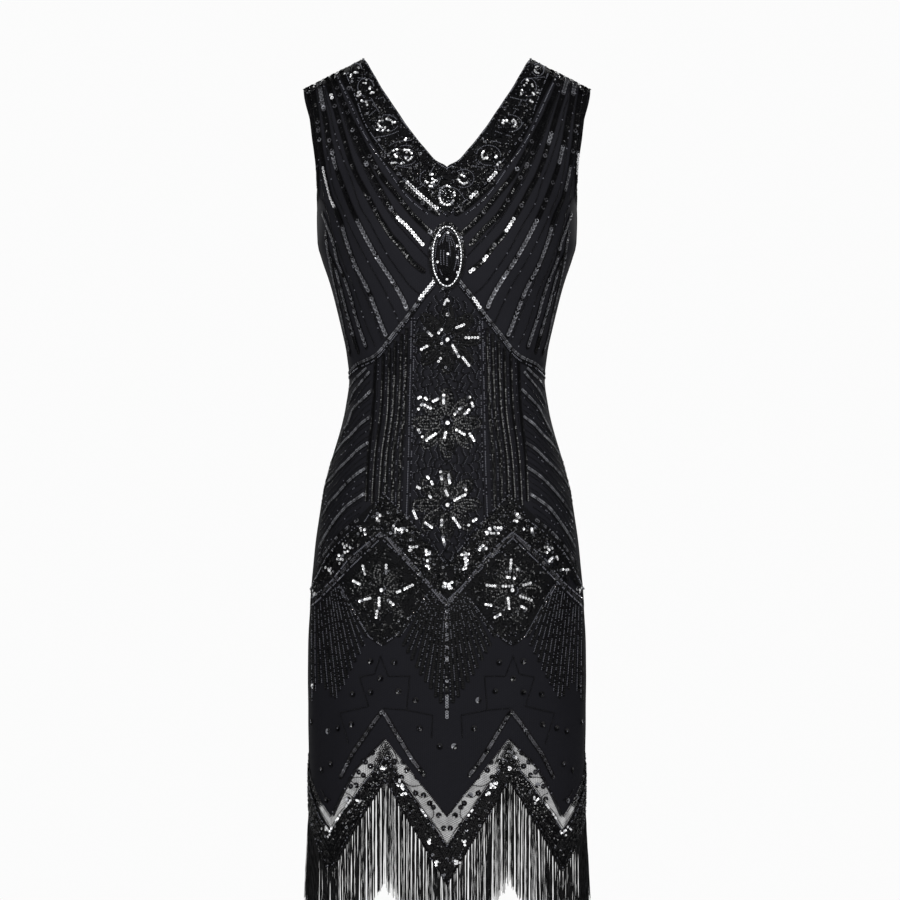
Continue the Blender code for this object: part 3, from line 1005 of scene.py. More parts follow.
HIP_STRIPES = (
    ((367, 368), (360, 375), (354, 381), (350, 388)),
    ((370, 372), (362, 382), (355, 391), (349, 403)),
    ((372, 390), (365, 397), (356, 407), (350, 419), (341, 436)),
    ((370, 417), (361, 424), (352, 434), (343, 443), (335, 455), (330, 468)),
    ((368, 443), (359, 449), (348, 460), (336, 472), (327, 485), (323, 496)),
    ((366, 468), (357, 474), (348, 482), (339, 492), (331, 502), (322, 516)),
    ((364, 494), (355, 500), (346, 507), (337, 518), (327, 533), (320, 546)),
    ((358, 520), (350, 526), (341, 534), (333, 543), (325, 554), (318, 566)),
)
LAST_HIP_LINE = ((352, 536), (343, 543), (334, 552), (327, 562), (321, 573), (315, 584))


def even(line, count=24):
    """A smooth charted line cut to the same number of points."""
    line = curve(line)
    run = distances(line)
    at = np.linspace(0, run[-1], count)
    return np.stack([np.interp(at, run, line[:, k]) for k in (0, 1)], axis=-1)


# The hip stripes' grey and smoke sequins paint the sheen of the light along them.
for k, stripe in enumerate(HIP_STRIPES):
    width = 4.0 if k > 1 else 3.2
    tones = mixed(0.03, 0.72, 0.0, 0.25) if k < 7 else mixed(0.4, 0.25, 0.0, 0.35)
    line = bent(stripe)
    backing(line, width + 2.4)
    row("bodice", "sequin", line, 2.4, width, STRIPE_LIFT, tones, lean=5, wobble=7)
    if k < 1:
        continue
    following = HIP_STRIPES[k + 1] if k < 7 else LAST_HIP_LINE
    for share in (0.25, 0.5, 0.75) if k > 1 else (0.5,):
        between = from_pixels(even(stripe) * (1 - share) + even(following) * share)
        row("bodice", "seed", between, 2.0, 1.9, 0.9, mixed(0.95, 0.05))

OGEE = (
    (434, 281), (422, 296), (413, 309), (403, 322), (391, 337), (382, 349), (374, 356), (366, 360),
    (357, 365), (349, 374),
)
for shift in (0, 4.5):
    line = bent([(x, y + shift) for x, y in OGEE])
    backing(line, 4.6)
    tones = mixed(0.4, 0.6) if shift else mixed(0.05, 0.6, 0.0, 0.35)
    row("bodice", "seed" if shift else "sequin", line, 2.3, 2.2 if shift else 3.8, 1.1, tones, lean=8)
    if not shift:
        glint_chain(line, ((0, 278, 300), (1, 297, 308)))

UPRIGHTS = (
    ((376, 360), (374, 407), (369, 455), (367, 500)),
    ((384, 354), (382, 407), (376, 455), (373, 504)),
    ((390, 348), (389, 407), (383, 455), (380, 499)),
    ((396, 341), (394, 407), (388, 455), (386, 496)),
    ((402, 334), (400, 407), (394, 455), (393, 501)),
    ((407, 328), (405, 407), (401, 455), (399, 508)),
)
UPRIGHT_LIGHT = (0.18, 0.2, 0.25, 0.2, 0.5, 0.15)  # the share of light beads in the line beside each
for k, line in enumerate(UPRIGHTS):
    places = bent(line)
    backing(places, 4.6)
    row("bodice", "sequin", places, 2.7, 3.6, 1.1, lean=-5, wobble=3)
    beside = [(x + 3.2, y) for x, y in line]
    lit_share = UPRIGHT_LIGHT[k]
    row("bodice", "seed", bent(beside), 1.9, 1.6, 0.9, mixed(1 - lit_share, lit_share))
for shift, tones in ((0, mixed(0.15, 0.85)), (3, mixed(0.6, 0.4))):
    line = [(x + shift, y) for x, y in ((412, 318), (410, 407), (409, 455), (407, 516))]
    row("bodice", "seed", bent(line), 2.0, 2.1, 1.0, tones)

# The centre panel: petalled flowers, a drop and thin scrolls
PETALS = 8
PETAL_WIDE = 6.0  # half a petal's width, in pixels
PETAL_RINGS = (1.0, 0.55)


def flower(region, x, y, near, far, both):
    """A flower of sequined petals round a bright middle, a silver paillette that is a painted highlight."""
    for k in range(PETALS):
        turn = 2 * math.pi * k / PETALS
        middle, reach = (near + far) / 2, (far - near) / 2
        t = turns(24)
        for shrink in PETAL_RINGS:
            out, over = middle + reach * shrink * np.cos(t), PETAL_WIDE * shrink * np.sin(t)
            px = x + out * math.cos(turn) - over * math.sin(turn)
            py = y + out * math.sin(turn) + over * math.cos(turn)
            petal = bent(np.stack([px, py], axis=-1), True)
            backing(petal, 4.4, both=both)
            row(region, "sequin", petal, 2.7, 3.5, 1.3, both=both, closed=True, lean=6, wobble=4)
        out = np.linspace(near + 2, far - 6, 12)
        rib = from_pixels(np.stack([x + out * math.cos(turn), y + out * math.sin(turn)], axis=-1))
        row(region, "sequin", rib, 2.7, 3.4, 1.6, both=both, lean=6, wobble=4)
    eye = bent(oval(x, y, 5, 5, 16), True)
    row(region, "seed", eye, 2.2, 2.2, 1.3, runs(0.5, 3), both=both, closed=True)
    core = from_pixels([(x + 0.6, y), (x + 0.61, y)])
    row(region, "paillette", core, 9, 5.0, 1.6, PAINTED_GLINT_SILVER, both=both)


FLOWER_HEIGHTS = (339, 422.6, 504.7)
for y in FLOWER_HEIGHTS:
    flower("centre", CENTRE_PIXEL, y, 8, 34, False)
# Short runs of silver sequins painted as glints on the petals and diamonds, charted in pixels.
PETAL_GLINT_RUNS = (
    ((425, 328), (432, 335)), ((439, 332), (442, 329)), ((457, 327), (464, 324)),
    ((466, 337), (478, 337)), ((422, 349), (430, 344)), ((439, 344), (442, 343)),
    ((453, 345), (459, 356)), ((463, 357), (469, 365)), ((439, 361), (441, 358)),
    ((446, 367), (449, 365)), ((419, 398), (421, 397)), ((426, 398), (427, 399)),
    ((434, 401), (438, 399)), ((419, 409), (422, 405)), ((423, 404), (431, 408)),
    ((444, 395), (444, 403)), ((460, 409), (461, 408)), ((470, 397), (473, 406)),
    ((465, 414), (469, 410)), ((455, 414), (457, 412)), ((419, 430), (423, 437)),
    ((427, 440), (436, 434)), ((457, 430), (467, 436)), ((470, 434), (474, 440)),
    ((446, 433), (445, 438)), ((441, 472), (442, 479)), ((449, 475), (450, 483)),
    ((446, 491), (448, 495)), ((428, 477), (429, 478)), ((432, 482), (433, 484)),
    ((418, 487), (420, 488)), ((430, 496), (431, 497)), ((455, 500), (468, 493)),
    ((465, 488), (466, 490)), ((414, 511), (417, 518)), ((426, 523), (432, 527)),
    ((442, 520), (442, 525)), ((454, 518), (460, 527)), ((469, 525), (476, 519)),
    ((443, 537), (445, 544)),
)
DIAMOND_GLINT_RUNS = (
    ((364, 566), (366, 574)), ((387, 565), (387, 573)), ((355, 581), (363, 585)),
    ((398, 592), (413, 585)), ((361, 601), (371, 598)), ((380, 598), (380, 608)),
    ((378, 611), (377, 617)), ((389, 600), (396, 606)), ((511, 560), (510, 571)),
    ((517, 569), (519, 570)), ((507, 577), (514, 578)), ((487, 585), (495, 586)),
    ((503, 586), (512, 586)), ((523, 585), (530, 583)), ((520, 596), (531, 600)),
    ((519, 605), (526, 609)), ((508, 598), (509, 608)), ((500, 614), (495, 617)),
    ((483, 604), (491, 605)),
)
for region, runs_of in (("centre", PETAL_GLINT_RUNS), ("skirt", DIAMOND_GLINT_RUNS)):
    for line in runs_of:
        places = from_pixels(line)
        row(region, "sequin", places, 3.3, 3.7, 2.2, mixed(0.08, 0.1, 0.82), both=False, lean=6, wobble=11)
# The drop's silver runs and its silver paillette are painted glints.
DROP = ((444, 308), (445, 303), (CENTRE_PIXEL, 299), (450, 303), (452, 308))
row("centre", "sequin", bent(DROP), 2.4, 3.0, 1.3, runs(0.9, 9, PAINTED_GLINT_SILVER), both=False)
row("centre", "paillette", from_pixels([(447.9, 314), (447.91, 314)]), 9, 4.4, 1.3, PAINTED_GLINT_SILVER, both=False)

GIRDLE_INNER = (
    (447, 600), (432, 586), (418, 569), (399, 547), (382, 532), (365, 546), (350, 559), (333, 581),
    (321, 592), (313, 599),
)
GIRDLE_OUTER = ((447, 607), (427, 583), (401, 556), (382, 538), (353, 566), (337, 583), (313, 607))
GIRDLE_UPPER = (
    (447, 565), (425, 537), (407, 516), (385, 494), (372, 511), (366, 521), (353, 530), (334, 549),
    (327, 559), (319, 575), (312, 589),
)
NECK_INNER = ((364, 60), (372, 72), (381, 88), (389, 100), (402, 120), (417, 140), (434, 160), (447, 169))
NECK_OUTER = ((347, 75), (357, 100), (368, 128), (394, 164), (406, 181), (437, 208), (CENTRE_PIXEL, 216))
DIAMOND = (
    (338, 584), (369, 636), (382, 645), (397, 635), (430, 590), (426, 583), (401, 557), (382, 539),
    (353, 567),
)


def inside(pixels, outline):
    """Which pixels lie inside a closed outline."""
    x, y = pixels[..., 0], pixels[..., 1]
    within = np.zeros(x.shape, bool)
    for (x0, y0), (x1, y1) in zip(outline, outline[1:] + outline[:1]):
        if y0 == y1:
            continue
        crosses = ((y0 > y) != (y1 > y)) & (x < (x1 - x0) * (y - y0) / (y1 - y0) + x0)
        within ^= crosses
    return within


def scribbles(side, half, region, kind, outline, strokes, steps, step, size, lift, weights, curl):
    """Short curls of small things that fill an outline of the left half."""
    outline = tuple(outline)
    low, high = np.min(outline, axis=0), np.max(outline, axis=0)
    starts = low + (high - low) * chance.random((strokes * 6, 2))
    starts = starts[inside(starts, outline)][:strokes]
    heading = chance.random(len(starts)) * 2 * math.pi
    bend = chance.normal(0, curl, len(starts))
    track = [starts]
    for _ in range(steps - 1):
        heading = heading + bend + chance.normal(0, 0.12, len(starts))
        bend = bend + chance.normal(0, curl * 0.25, len(starts))
        ahead = np.stack([np.cos(heading), np.sin(heading)], axis=-1)
        track.append(track[-1] + ahead * step / PIXEL)
    track = np.stack(track, axis=1)
    stays = np.logical_and.accumulate(inside(track, outline), axis=1)
    ahead = np.gradient(track, axis=1)[stays]
    pixels = track[stays]
    _, height, share = from_pixels(pixels)
    points, normals = on_cloth(side, half, height, share, lift)
    toward = np.stack([ahead[:, 0] * (1 - 2 * half), np.zeros(len(ahead)), -ahead[:, 1]], axis=-1)
    sew(region, kind, side, points, normals, toward, size, finish=mixed(*weights)(points, half), wobble=14)


patch(even(((338, 583), (353, 567), (382, 538), (401, 555), (430, 586)), 20),
      even(((339, 587), (362, 626), (382, 646), (404, 627), (431, 591)), 20), 12)


def strip_outline(first, second):
    """The outline between two charted lines."""
    return tuple(first) + tuple(second)[::-1]


NECK_OUTLINE = strip_outline(NECK_INNER, NECK_OUTER)
GIRDLE_OUTLINE = strip_outline(GIRDLE_UPPER, GIRDLE_INNER)
SCRIBBLES = (  # region, kind, outline, strokes, steps, step, size, lift, weights, curl
    ("neck", "seed", NECK_OUTLINE, 210, 9, 1.9, 1.8, 1.8, (0.92, 0.07, 0.01), 0.5),
    ("neck", "sequin", NECK_OUTLINE, 120, 4, 2.6, 3.2, 1.6, (0.97, 0.03), 0.6),
    ("girdle", "seed", GIRDLE_OUTLINE, 250, 8, 1.9, 1.8, 1.9, (0.95, 0.05), 0.5),
    ("girdle", "sequin", GIRDLE_OUTLINE, 240, 4, 2.7, 3.4, 1.7, (0.98, 0.02), 0.6),
    ("skirt", "seed", DIAMOND, 200, 8, 1.9, 1.8, 1.0, (0.97, 0.03), 0.5),
    ("skirt", "sequin", DIAMOND, 120, 4, 2.7, 3.2, 0.9, (0.98, 0.02), 0.5),
)
for side, half in QUARTERS:
    for strokes in SCRIBBLES:
        scribbles(side, half, *strokes)

# Scrolls of the centre panel: thin lines that wind down it
SCROLLS = ((443.5, 288, 566), (436.5, 296, 556), (429.5, 303, 546), (422.5, 311, 536), (416, 318, 526))
for k, (x, top, low) in enumerate(SCROLLS):
    y = np.arange(top, low, 0.8)
    for mirror in (1, -1):
        phase, swing = chance.random(4) * 2 * math.pi, 2.0 + chance.random()
        drift = 1.3 * np.sin(y / 9 + phase[1])
        across = x + swing * np.sin(y / 1.9 + phase[0] + drift) + np.sin(y / 7 + phase[2])
        down_by = y + 2.0 * np.sin(y / 1.45 + phase[3])
        for shift, size, tones in ((0, 1.25, mixed(0.2, 0.8)), (1.7, 2.3, mixed(1.0))):
            pixels = np.stack([CENTRE_PIXEL + (across + shift - CENTRE_PIXEL) * mirror, down_by], axis=-1)
            row("centre", "seed", from_pixels(pixels), 2.0, size, 0.8, tones, both=False)

# Borders of the neck band and girdle
for line in (NECK_OUTER, NECK_INNER):
    row("neck", "seed", bent(line), 2.2, 2.2, 1.9, mixed(0.4, 0.6))
for line in (GIRDLE_INNER, GIRDLE_OUTER):
    row("girdle", "seed", angled(line), 2.2, 2.5, 2.1, mixed(0.3, 0.67, 0.03))
within = (even(GIRDLE_INNER, 60) + even(GIRDLE_OUTER, 60)) / 2
backing(from_pixels(within), 7.0, 1.5)
row("girdle", "sequin", from_pixels(within), 2.6, 4.6, 1.8, mixed(0.4, 0.0, 0.0, 0.6), lean=6, wobble=7)
row("girdle", "seed", angled(GIRDLE_UPPER), 2.2, 2.2, 1.9, mixed(0.5, 0.5))

edge_line = np.linspace(0, 1, 60)
shoulder = on_left(np.full(60, SHOULDER), edge_line)
row("bodice", "sequin", shoulder, 2.8, 3.6, 1.0, mixed(0.95, 0.05), wobble=16)
neck_edge = on_left(SHOULDER + (NECK_POINT - SHOULDER) * edge_line, np.full(60, 0.004))
row("neck", "seed", neck_edge, 2.2, 2.8, 1.0, mixed(0.9, 0.1), wobble=12)

# Ovals along the neck band as (x, y, half width, half height), each with a smaller ring inside
NECK_OVALS = (
    (357, 71, 6, 6), (366.5, 88, 8, 9), (386, 124, 13, 8.5), (406, 156, 12, 10), (430.5, 179, 10, 9),
)
for x, y, wide, tall in NECK_OVALS:
    for share, kind, pitch, size, tones in (
        (1, "seed", 2.0, 1.9, runs(0.9, 9)),
        (0.55, "sequin", 2.6, 2.8, runs(0.35, 3, PAINTED_GLINT_SILVER)),
    ):
        ring = bent(oval(x, y, wide * share, tall * share), True)
        row("neck", kind, ring, pitch, size, 2.4, tones, closed=True)
for share, kind, pitch, tones in (
    (1, "sequin", 3.3, mixed(0.15, 0.15, 0.7)),
    (0.62, "seed", 2.6, mixed(0.4, 0.3, 0.3)),
    (0.25, "seed", 2.6, mixed(0.2, 0.4, 0.4)),
):
    ring = bent(oval(CENTRE_PIXEL, 196, 7.5 * share, 9.5 * share), True)
    row("neck", kind, ring, pitch, 2.9, 2.5, tones, both=False, closed=True)
CROSSINGS = (
    ((348, 78), (362, 79), (374, 82)),
    ((358, 99), (370, 101), (384, 98)),
    ((371, 97), (377, 108), (381, 114)),
    ((368, 118), (378, 110), (392, 108)),
    ((376, 138), (388, 136), (399, 132)),
    ((385, 150), (396, 143), (411, 141)),
    ((396, 166), (409, 168), (424, 166)),
    ((413, 190), (423, 186), (434, 168)),
    ((427, 203), (436, 191), (446, 186)),
)
for line in CROSSINGS:
    row("neck", "seed", bent(line), 1.9, 1.8, 2.3, runs(0.9, 6))

NECK_GLINTS = (
    (347, 76), (352, 75), (358, 73), (367, 82), (358, 96), (361, 94), (366, 105), (364, 102), (373, 94),
    (382, 122), (388, 121), (393, 124), (381, 130), (388, 129), (408, 140), (396, 153), (397, 157),
    (406, 153), (408, 158), (404, 163), (395, 165), (431, 175), (436, 180), (433, 186),
)


ASLANT = (0.3, 0.0, -1.0)


def glints(region, spots, share, many, spread, size, lift):
    """Small knots of silver sequins, painted glints, at charted places of the left half and, thinned out,
    the right one.
    """
    for side, half in QUARTERS:
        for x, y in spots:
            if half and chance.random() > share:
                continue
            near = np.array([x, y]) + chance.normal(0, spread, (many, 2))
            points, normals = on_cloth(side, half, *from_pixels(near)[1:], lift)
            toward = np.tile(ASLANT, (many, 1))
            finish = mixed(0.05, 0.2, 0.75)(points, half)
            sew(region, "sequin", side, points, normals, toward, size, wobble=12, finish=finish)


glints("neck", NECK_GLINTS, 0.75, 3, 1.3, 3.0, 2.6)
GIRDLE_GLINTS = (
    (379, 516), (364, 532), (346, 548), (343, 558), (330, 570), (316, 591), (397, 530), (405, 531),
    (412, 546), (430, 554), (429, 565), (446, 586),
)
glints("girdle", GIRDLE_GLINTS, 0.95, 8, 2.5, 3.6, 2.5)

# Diamonds and fans below the girdle
flower("skirt", 381.5, 590, 6, 27, True)
for line in (((338, 584), (369, 636), (382, 645)), ((382, 645), (397, 635), (431, 590))):
    row("skirt", "seed", angled(line), 2.2, 2.2, 1.2, mixed(0.5, 0.44, 0.06))
FAN_ENDS = (
    (399, 636), (404, 645), (408, 652), (412, 659), (417, 667), (421, 674), (426, 681), (431, 688),
    (436, 696), (441, 702),
)
FAN_STARTS = (
    (426, 597), (430, 593), (432, 592), (434, 594), (436, 596), (438, 598), (440, 601), (442, 604),
    (444, 607), (446, 610),
)
SIDE_ENDS = (
    (367, 636), (363, 645), (359, 653), (355, 661), (351, 669), (347, 677), (343, 684), (339, 690),
    (335, 697), (331, 695), (326, 688), (321, 682), (316, 690), (312, 700),
)
SIDE_STARTS = (
    (343, 590), (341, 587), (339, 585), (337, 586), (335, 588), (333, 590), (331, 592), (329, 594),
    (326, 597), (323, 600), (320, 603), (318, 605), (315, 607), (312, 610),
)
for k, (start, end) in enumerate(zip(FAN_STARTS + SIDE_STARTS, FAN_ENDS + SIDE_ENDS)):
    line = angled((start, end))
    backing(line, 4.4)
    row("skirt", "sequin", line, 2.7, 3.4, 1.1, lean=5, wobble=2)
    beside = straight(((start[0] + 1.4, start[1]), (end[0] + 2.2, end[1])))
    light = 0.35 if k % 2 else 0.55
    if k >= len(FAN_STARTS):
        light += 0.25
    tones = mixed(1 - light, light)
    row("skirt", "seed", from_pixels(beside), 1.9, 1.7, 1.2, tones, wobble=3)
middle = angled(((CENTRE_PIXEL, 611), (CENTRE_PIXEL, 717)))
row("skirt", "sequin", middle, 3.0, 4.2, 1.2, mixed(0.55, 0.44, 0.01), both=False)

# Paillettes and thin stepped bead lines of the plain part
PAILLETTES = (
    (371, 661), (395, 662), (381, 678), (371, 692), (399, 691), (353, 694), (416, 700), (420, 728),
    (352, 724), (338, 728), (328, 731), (331, 764), (322, 770), (440, 746), (315, 686), (313, 722),
    (371, 766), (357, 785), (395, 761), (407, 770), (416, 793), (430, 803), (433, 825), (444, 828),
    (364, 775), (402, 777), (424, 795), (349, 799), (327, 800), (439, 815),
)
for x, y in PAILLETTES:
    spot = from_pixels([(x, y), (x + 0.1, y)])
    row("skirt", "paillette", spot, 9, 7.0, 1.2, mixed(0.93, 0.06, 0.01), wobble=9)
    row("skirt", "seed", spot, 9, 2.2, 1.9, mixed(0.3, 0.6, 0.1))
STEPS = (
    ((381, 656), (375, 674), (360, 677), (369, 706), (340, 713), (349, 743)),
    ((381, 656), (389, 676), (410, 676), (407, 710), (385, 708)),
    ((407, 710), (433, 715), (432, 737)),
)
STRIP_LINES = (
    ((362, 760), (370, 756), (377, 750)),
    ((350, 778), (360, 777), (373, 778)),
    ((347, 793), (351, 795), (355, 800)),
    ((394, 750), (397, 757), (399, 763)),
    ((405, 783), (413, 786), (421, 785)),
    ((415, 790), (421, 797), (428, 796)),
    ((433, 806), (434, 815), (430, 821)),
    ((322, 790), (326, 797), (331, 800)),
)
for line in STRIP_LINES:
    row("skirt", "seed", bent(line), 1.9, 2.3, 0.8)
for line in STEPS:
    row("skirt", "seed", angled(line), 2.2, 2.0, 0.9)
CHEVRON = (
    (425, 775), (413, 760), (402, 742), (386, 715), (383, 711), (375, 721), (363, 739), (353, 753),
    (341, 777),
)
chevron = angled(CHEVRON)
backing(chevron, 6.4)
row("skirt", "sequin", chevron, 2.2, 4.4, 1.1, mixed(0.38, 0.02, 0.0, 0.6), lean=6, wobble=8)

# The hem band: close rows of sequins and beads along the zigzag
HEM_ROWS = (
    (-0.06, "seed", 2.3, mixed(0.97, 0.03)),
    (0.04, "seed", 2.1, mixed(0.5, 0.48, 0.02)),
    (0.16, "sequin", 4.0, mixed(1.0)),
    (0.33, "sequin", 4.0, mixed(0.98, 0.02)),
    (0.5, "sequin", 4.0, mixed(1.0)),
    (0.66, "sequin", 4.0, mixed(0.98, 0.02)),
    (0.82, "sequin", 3.8, mixed(0.97, 0.03)),
    (0.97, "seed", 2.4, mixed(0.88, 0.12)),
)
HEM_KNOTS = 560  # on each half
HEM_GLINTS = (
    (399, 783), (405, 793), (403, 786), (424, 806), (349, 771), (339, 775), (330, 812), (327, 828),
    (333, 833), (360, 800), (385, 768), (430, 842), (437, 862),
)
fine = np.linspace(0, 1, 361)
for side in SIDES:
    places = on_left(zigzag(LINING_EDGE[side], fine) - 1.0, fine)
    row("skirt", "seed", places, 2.1, 2.4, 0.8, mixed(0.95, 0.05), sides=(side,))
    for part in (0.15, 0.42, 0.7, 0.95):
        share = np.linspace(0.74 + 0.05 * part, 1, 60)
        height = zigzag(LINING_EDGE[side], share) * (1 - part) + zigzag(HEM[side], share) * part
        places = on_left(height + 1.2 * np.sin(share * 90 + part * 9), share)
        row("skirt", "sequin", places, 2.9, 4.6, 0.9, mixed(0.94, 0.06), sides=(side,), wobble=12)


def hem_height(side, share, part):
    """Heights part of the way down the hem band, as a fraction of it."""
    return zigzag(HEM[side], share) * (1 - part) + zigzag(HEM[side], share, 2) * part


for side in SIDES:
    for part, kind, size, tones in HEM_ROWS:
        waver = 0.8 * np.sin(fine * 47 + part * 20) + 0.5 * np.sin(fine * 113 + part * 50)
        places = on_left(hem_height(side, fine, part) + waver, fine)
        pitch = 2.1 if kind == "seed" else 2.7
        row("hem", kind, places, pitch, size, 1.9, tones, sides=(side,), lean=-8, wobble=11)
    for part, reach in ((-0.12, 0.06), (-0.27, 0.05), (-0.42, 0.036), (-0.57, 0.022)):
        share = np.linspace(1 / 3 - reach, 1 / 3 + reach, 40)
        places = on_left(hem_height(side, share, part) + 0.9 * np.sin(share * 190), share)
        row("hem", "sequin", places, 2.8, 4.0, 1.4, mixed(0.94, 0.05, 0.01), sides=(side,), wobble=12)
    for half in HALVES:
        share = chance.random(HEM_KNOTS)
        part = 1.04 * chance.random(HEM_KNOTS) ** 0.55
        knots, normals = on_cloth(side, half, hem_height(side, share, part), share, 2.4)
        toward = chance.normal(0, 1, (HEM_KNOTS, 3))
        tones = mixed(0.95, 0.05)(knots, half)
        sew("hem", "seed", side, knots, normals, toward, 2.1, wobble=14, finish=tones)
for half in HALVES:
    for x, y in HEM_GLINTS:
        _, height, share = from_pixels(np.array([x, y]) + chance.normal(0, 1.4, (5, 2)))
        top, low = (zigzag(HEM["front"], share, k) for k in (1, 2))
        part = np.clip((top - height) / (top - low), 0, 1.1)
        for side in SIDES:
            points, normals = on_cloth(side, half, hem_height(side, share, part), share, 2.6)
            toward = np.tile(ASLANT, (len(points), 1))
            sew("hem", "sequin", side, points, normals, toward, 3.2, wobble=13, finish=PAINTED_GLINT_SILVER)

# The pendant: a low dome outlined with bugles
PENDANT_HEIGHT = -224.5  # of its middle
PENDANT_WIDE, PENDANT_TALL = 18.1, 35.7  # half its width and height
PENDANT_RIM, PENDANT_CROWN = 1.6, 3.0  # lifts off the net


def on_dome(x, z, lift=0.0):
    """Places and lifts on the pendant's dome from offsets across and down, in millimetres."""
    out = np.clip((x / PENDANT_WIDE) ** 2 + (z / PENDANT_TALL) ** 2, 0, 1)
    rise = PENDANT_RIM + (PENDANT_CROWN - PENDANT_RIM) * (1 - out)
    return from_measures(x, PENDANT_HEIGHT + z), rise + lift


rings, spokes = 9, 40
grids = np.meshgrid(np.linspace(0.02, 1, rings), turns(spokes), indexing="ij")
out, turn = (grid.ravel() for grid in grids)
places, lift = on_dome(out * PENDANT_WIDE * np.cos(turn), out * PENDANT_TALL * np.sin(turn))
points, _ = on_cloth("front", *places, lift)
rim_points, _ = on_cloth("front", *(p[-spokes:] for p in places), 0.2)
index = np.arange(rings * spokes).reshape(rings, spokes)
index = np.vstack([index, index[-1] + spokes])
dome = mesh_piece("pendant_dome", np.vstack([points, rim_points]), tube_faces(index), [GROUND])
keep(dome, ["pendant"])


def dome_row(kind, x, z, pitch, size, lift, finish, wobble=5.0):
    """Sews a row on the pendant."""
    places, lifts = on_dome(x, z)
    line = on_cloth("front", *places, lifts)[0] / MM
    run = distances(line)
    at = np.linspace(0, run[-1], max(int(round(run[-1] / pitch)), 1) + 1)
    places, lifts = on_dome(np.interp(at, run, x), np.interp(at, run, z), lift)
    points, normals = on_cloth("front", *places, lifts)
    chosen = finish(points, 0) if callable(finish) else finish
    toward = np.gradient(points, axis=0)
    sew("pendant", kind, "front", points, normals, toward, size, wobble=wobble, finish=chosen)


t = np.linspace(0, 2 * math.pi, 200)
# The silver bugles of the outline paint its highlight.
dome_row("bugle", 16.6 * np.cos(t), 34.0 * np.sin(t), 3.9, (3.7, 2.7, 2.7), 1.0, PAINTED_GLINT_SILVER, 3)
dome_row("seed", 13.6 * np.cos(t), 30.5 * np.sin(t), 2.1, 1.9, 0.8, runs(0.6, 5))
dome_row("sequin", 19.8 * np.cos(t), 38.0 * np.sin(t), 2.5, 3.6, 0.7, mixed(0.97, 0.03))
t = np.linspace(-0.95, 0.95, 60)
for bow in (-0.8, -0.53, -0.27, 0.0, 0.27, 0.53, 0.8):
    dome_row("seed", bow * 14 * np.cos(t * math.pi / 2) ** 0.8, 29 * t, 2.0, 1.9, 0.8, runs(0.5, 6))
# Silver sequins as painted glints on the dome.
for x, z in ((1, 27), (-9, 24), (12, 12), (12, -1), (12, -18), (-11, -6), (0, -26), (1, 3)):
    dome_row("sequin", np.array([x, x + 0.1]), np.array([z, z]), 9, 3.2, 1.6, PAINTED_GLINT_SILVER, 10)

for region, kind, side in list(sewn):
    nodes = ["pendant"] if region == "pendant" else []
    if region in BAND_NODES:
        nodes = [f"{BAND_NODES[region]}_{side}"]
    grounds[side].append(keep(built(region, kind, side), nodes))
for side in SIDES:
    grounds[side].append(keep(ribbons(side)))

# The fringe: separate twisted threads
STRANDS = 570
STRAND_LENGTH = 119.0
STRAND_RADIUS = 0.5
STRAND_STEPS = 7
STRAND_SIDES = 4
LOCK = 5  # threads that hang together
GATHER = 0.54  # how much closer they hang than they are sewn


def fringe(side):
    """Threads that hang from the hem band's lower edge."""
    number = np.arange(STRANDS)
    starts = np.cumsum(chance.integers(3, 2 * LOCK - 2, STRANDS // 3))
    lock = np.searchsorted(starts, number, side="right")
    middle = np.bincount(lock, number)[lock] / np.bincount(lock)[lock]
    gather = (middle - number) * chance.uniform(0.5, 1.2, lock.max() + 1)[lock]
    closer = GATHER * np.clip(6 * np.minimum(number + 1, STRANDS - number) / STRANDS, 0, 1)
    at = (number + closer * gather + chance.uniform(-0.45, 0.45, STRANDS) + 0.5) / STRANDS
    at = np.clip(at, 0.001, 0.999)
    lock_sway = chance.normal(0, 1.0, lock.max() + 1)[lock]
    run = at * 2 - 1
    half = (run > 0).astype(int)
    share = np.abs(run)
    height = zigzag(HEM[side], share, 2) + 1.5
    roots, normals = on_cloth(side, half, height, share, -0.6 + chance.uniform(-0.5, 0.9, STRANDS))
    trim = -3.5 * np.cos(3 * math.pi * share)
    length = (STRAND_LENGTH + trim + chance.normal(0, 1.8, STRANDS)) * MM
    flare = 5.0 * np.clip((share - 0.82) / 0.18, 0, 1)
    sway_x = (1.0 * np.sin(run * 41) + lock_sway + chance.normal(0, 0.35, STRANDS)) * MM
    sway_out = (flare + 0.8 * np.sin(run * 63 + 2) + chance.normal(0, 0.7, STRANDS)) * MM
    t = np.linspace(0, 1, STRAND_STEPS + 1)[None, :]
    line = np.repeat(roots[:, None, :], STRAND_STEPS + 1, axis=1)
    lean = t**0.8
    line[..., 0] += sway_x[:, None] * lean + normals[:, None, 0] * sway_out[:, None] * lean
    line[..., 1] += normals[:, None, 1] * sway_out[:, None] * lean
    line[..., 2] -= length[:, None] * t
    twist = t * 9 + chance.random(STRANDS)[:, None] * 6
    thick = STRAND_RADIUS * MM * (1 + chance.normal(0, 0.12, STRANDS))[:, None] * (1 - 0.45 * t**8)
    angle = twist[..., None] + turns(STRAND_SIDES)
    flat = np.where(np.arange(STRAND_SIDES) % 2, 0.65, 1.0)
    ring = np.stack([np.cos(angle) * flat, np.sin(angle) * flat, np.zeros_like(angle)], axis=-1)
    points = line[:, :, None, :] + ring * thick[..., None, None]
    index = np.arange(points.size // 3).reshape(points.shape[:3])
    beside = np.roll(index, -1, axis=2)
    faces = np.stack([index[:, :-1], index[:, 1:], beside[:, 1:], beside[:, :-1]], axis=-1).reshape(-1, 4)
    ends = index[:, -1, :][:, ::-1]
    return mesh_piece(f"fringe_threads_{side}", points.reshape(-1, 3), np.vstack([faces, ends]), [RAYON])


for side in SIDES:
    grounds[side].append(keep(fringe(side), [f"fringe_{side}"]))

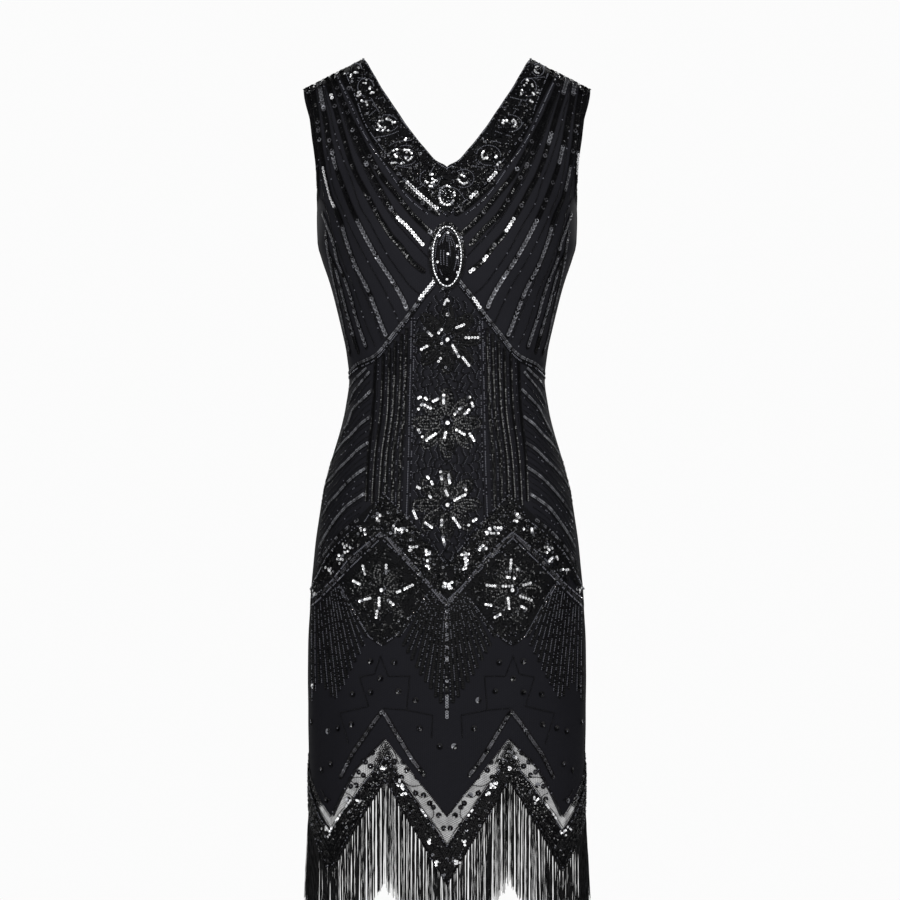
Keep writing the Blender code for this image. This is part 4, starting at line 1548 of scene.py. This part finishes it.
CUTS = {  # the flat size in metres and the area of the net and of the lining
    "front": ((0.46, 0.98), 0.36, (0.45, 0.3), 0.112),
    "back": ((0.46, 1.01), 0.366, (0.45, 0.33), 0.122),
}
for side, (cut, area, lining_cut, lining_area) in CUTS.items():
    net, lining = nets[side], linings[side]

# The stage
FLOOR_RADIUS = 2.6
FLOOR_HEIGHT = -1.37
ROOM_GLOW, PAPER_GLOW = 0.1, 0.97  # what the white backdrop gives to the pieces and to the camera
LAMP_DISTANCE = 3.0
LAMP_SIZE = 0.9
SOFTBOXES = ((-26, 24, 75), (28, 20, 75), (150, 28, 42), (-148, 28, 42))  # azimuth, elevation, power
TARGET = np.array([0, 0, -0.5])
floor_mesh = bpy.data.meshes.new("floor")
shaped = bmesh.new()
bmesh.ops.create_circle(shaped, cap_ends=True, segments=96, radius=FLOOR_RADIUS)
shaped.to_mesh(floor_mesh)
shaped.free()
floor = placed("floor", floor_mesh)
floor.location = (0, 0, FLOOR_HEIGHT)
paper, place = blank("studio_paper")
finished(paper, Base_Color=shades(paper, place, 3.0, "#e4e4e4", "#efefef"), Roughness=0.9)
floor_mesh.materials.append(paper)
floor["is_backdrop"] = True

world = bpy.data.worlds.new("studio")
bpy.context.scene.world = world
world.use_nodes = True
world.node_tree.nodes.clear()
seen = add(world, "ShaderNodeLightPath")
room, paper_white = (
    add(world, "ShaderNodeBackground", {}, {"Color": (1, 1, 1, 1), "Strength": strength})
    for strength in (ROOM_GLOW, PAPER_GLOW)
)
inputs = {0: (seen, "Is Camera Ray"), 1: (room, "Background"), 2: (paper_white, "Background")}
backdrop = add(world, "ShaderNodeMixShader", {}, inputs)
add(world, "ShaderNodeOutputWorld", {}, {"Surface": (backdrop, "Shader")})
bpy.context.scene.view_settings.view_transform = "Standard"

for k, (azimuth, elevation, power) in enumerate(SOFTBOXES):
    data = bpy.data.lights.new(f"softbox_{k}", "AREA")
    data.shape = "SQUARE"
    data.size = LAMP_SIZE
    data.energy = power
    lamp = placed(f"softbox_{k}", data)
    a, e = math.radians(azimuth), math.radians(elevation)
    away = np.array([math.sin(a) * math.cos(e), -math.cos(a) * math.cos(e), math.sin(e)])
    lamp.location = TARGET + away * LAMP_DISTANCE
    lamp.rotation_euler = (math.radians(90) - e, 0, a)

camera_data = bpy.data.cameras.new("camera")
camera_data.lens = 150
camera_data.sensor_width = 36
camera_data.clip_end = 50
camera = placed("camera", camera_data)
camera.location = (0.0036, -CAMERA_DISTANCE * MM, CAMERA_HEIGHT * MM)
camera.rotation_euler = (math.radians(90), 0, 0)
bpy.context.scene.camera = camera

low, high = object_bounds()
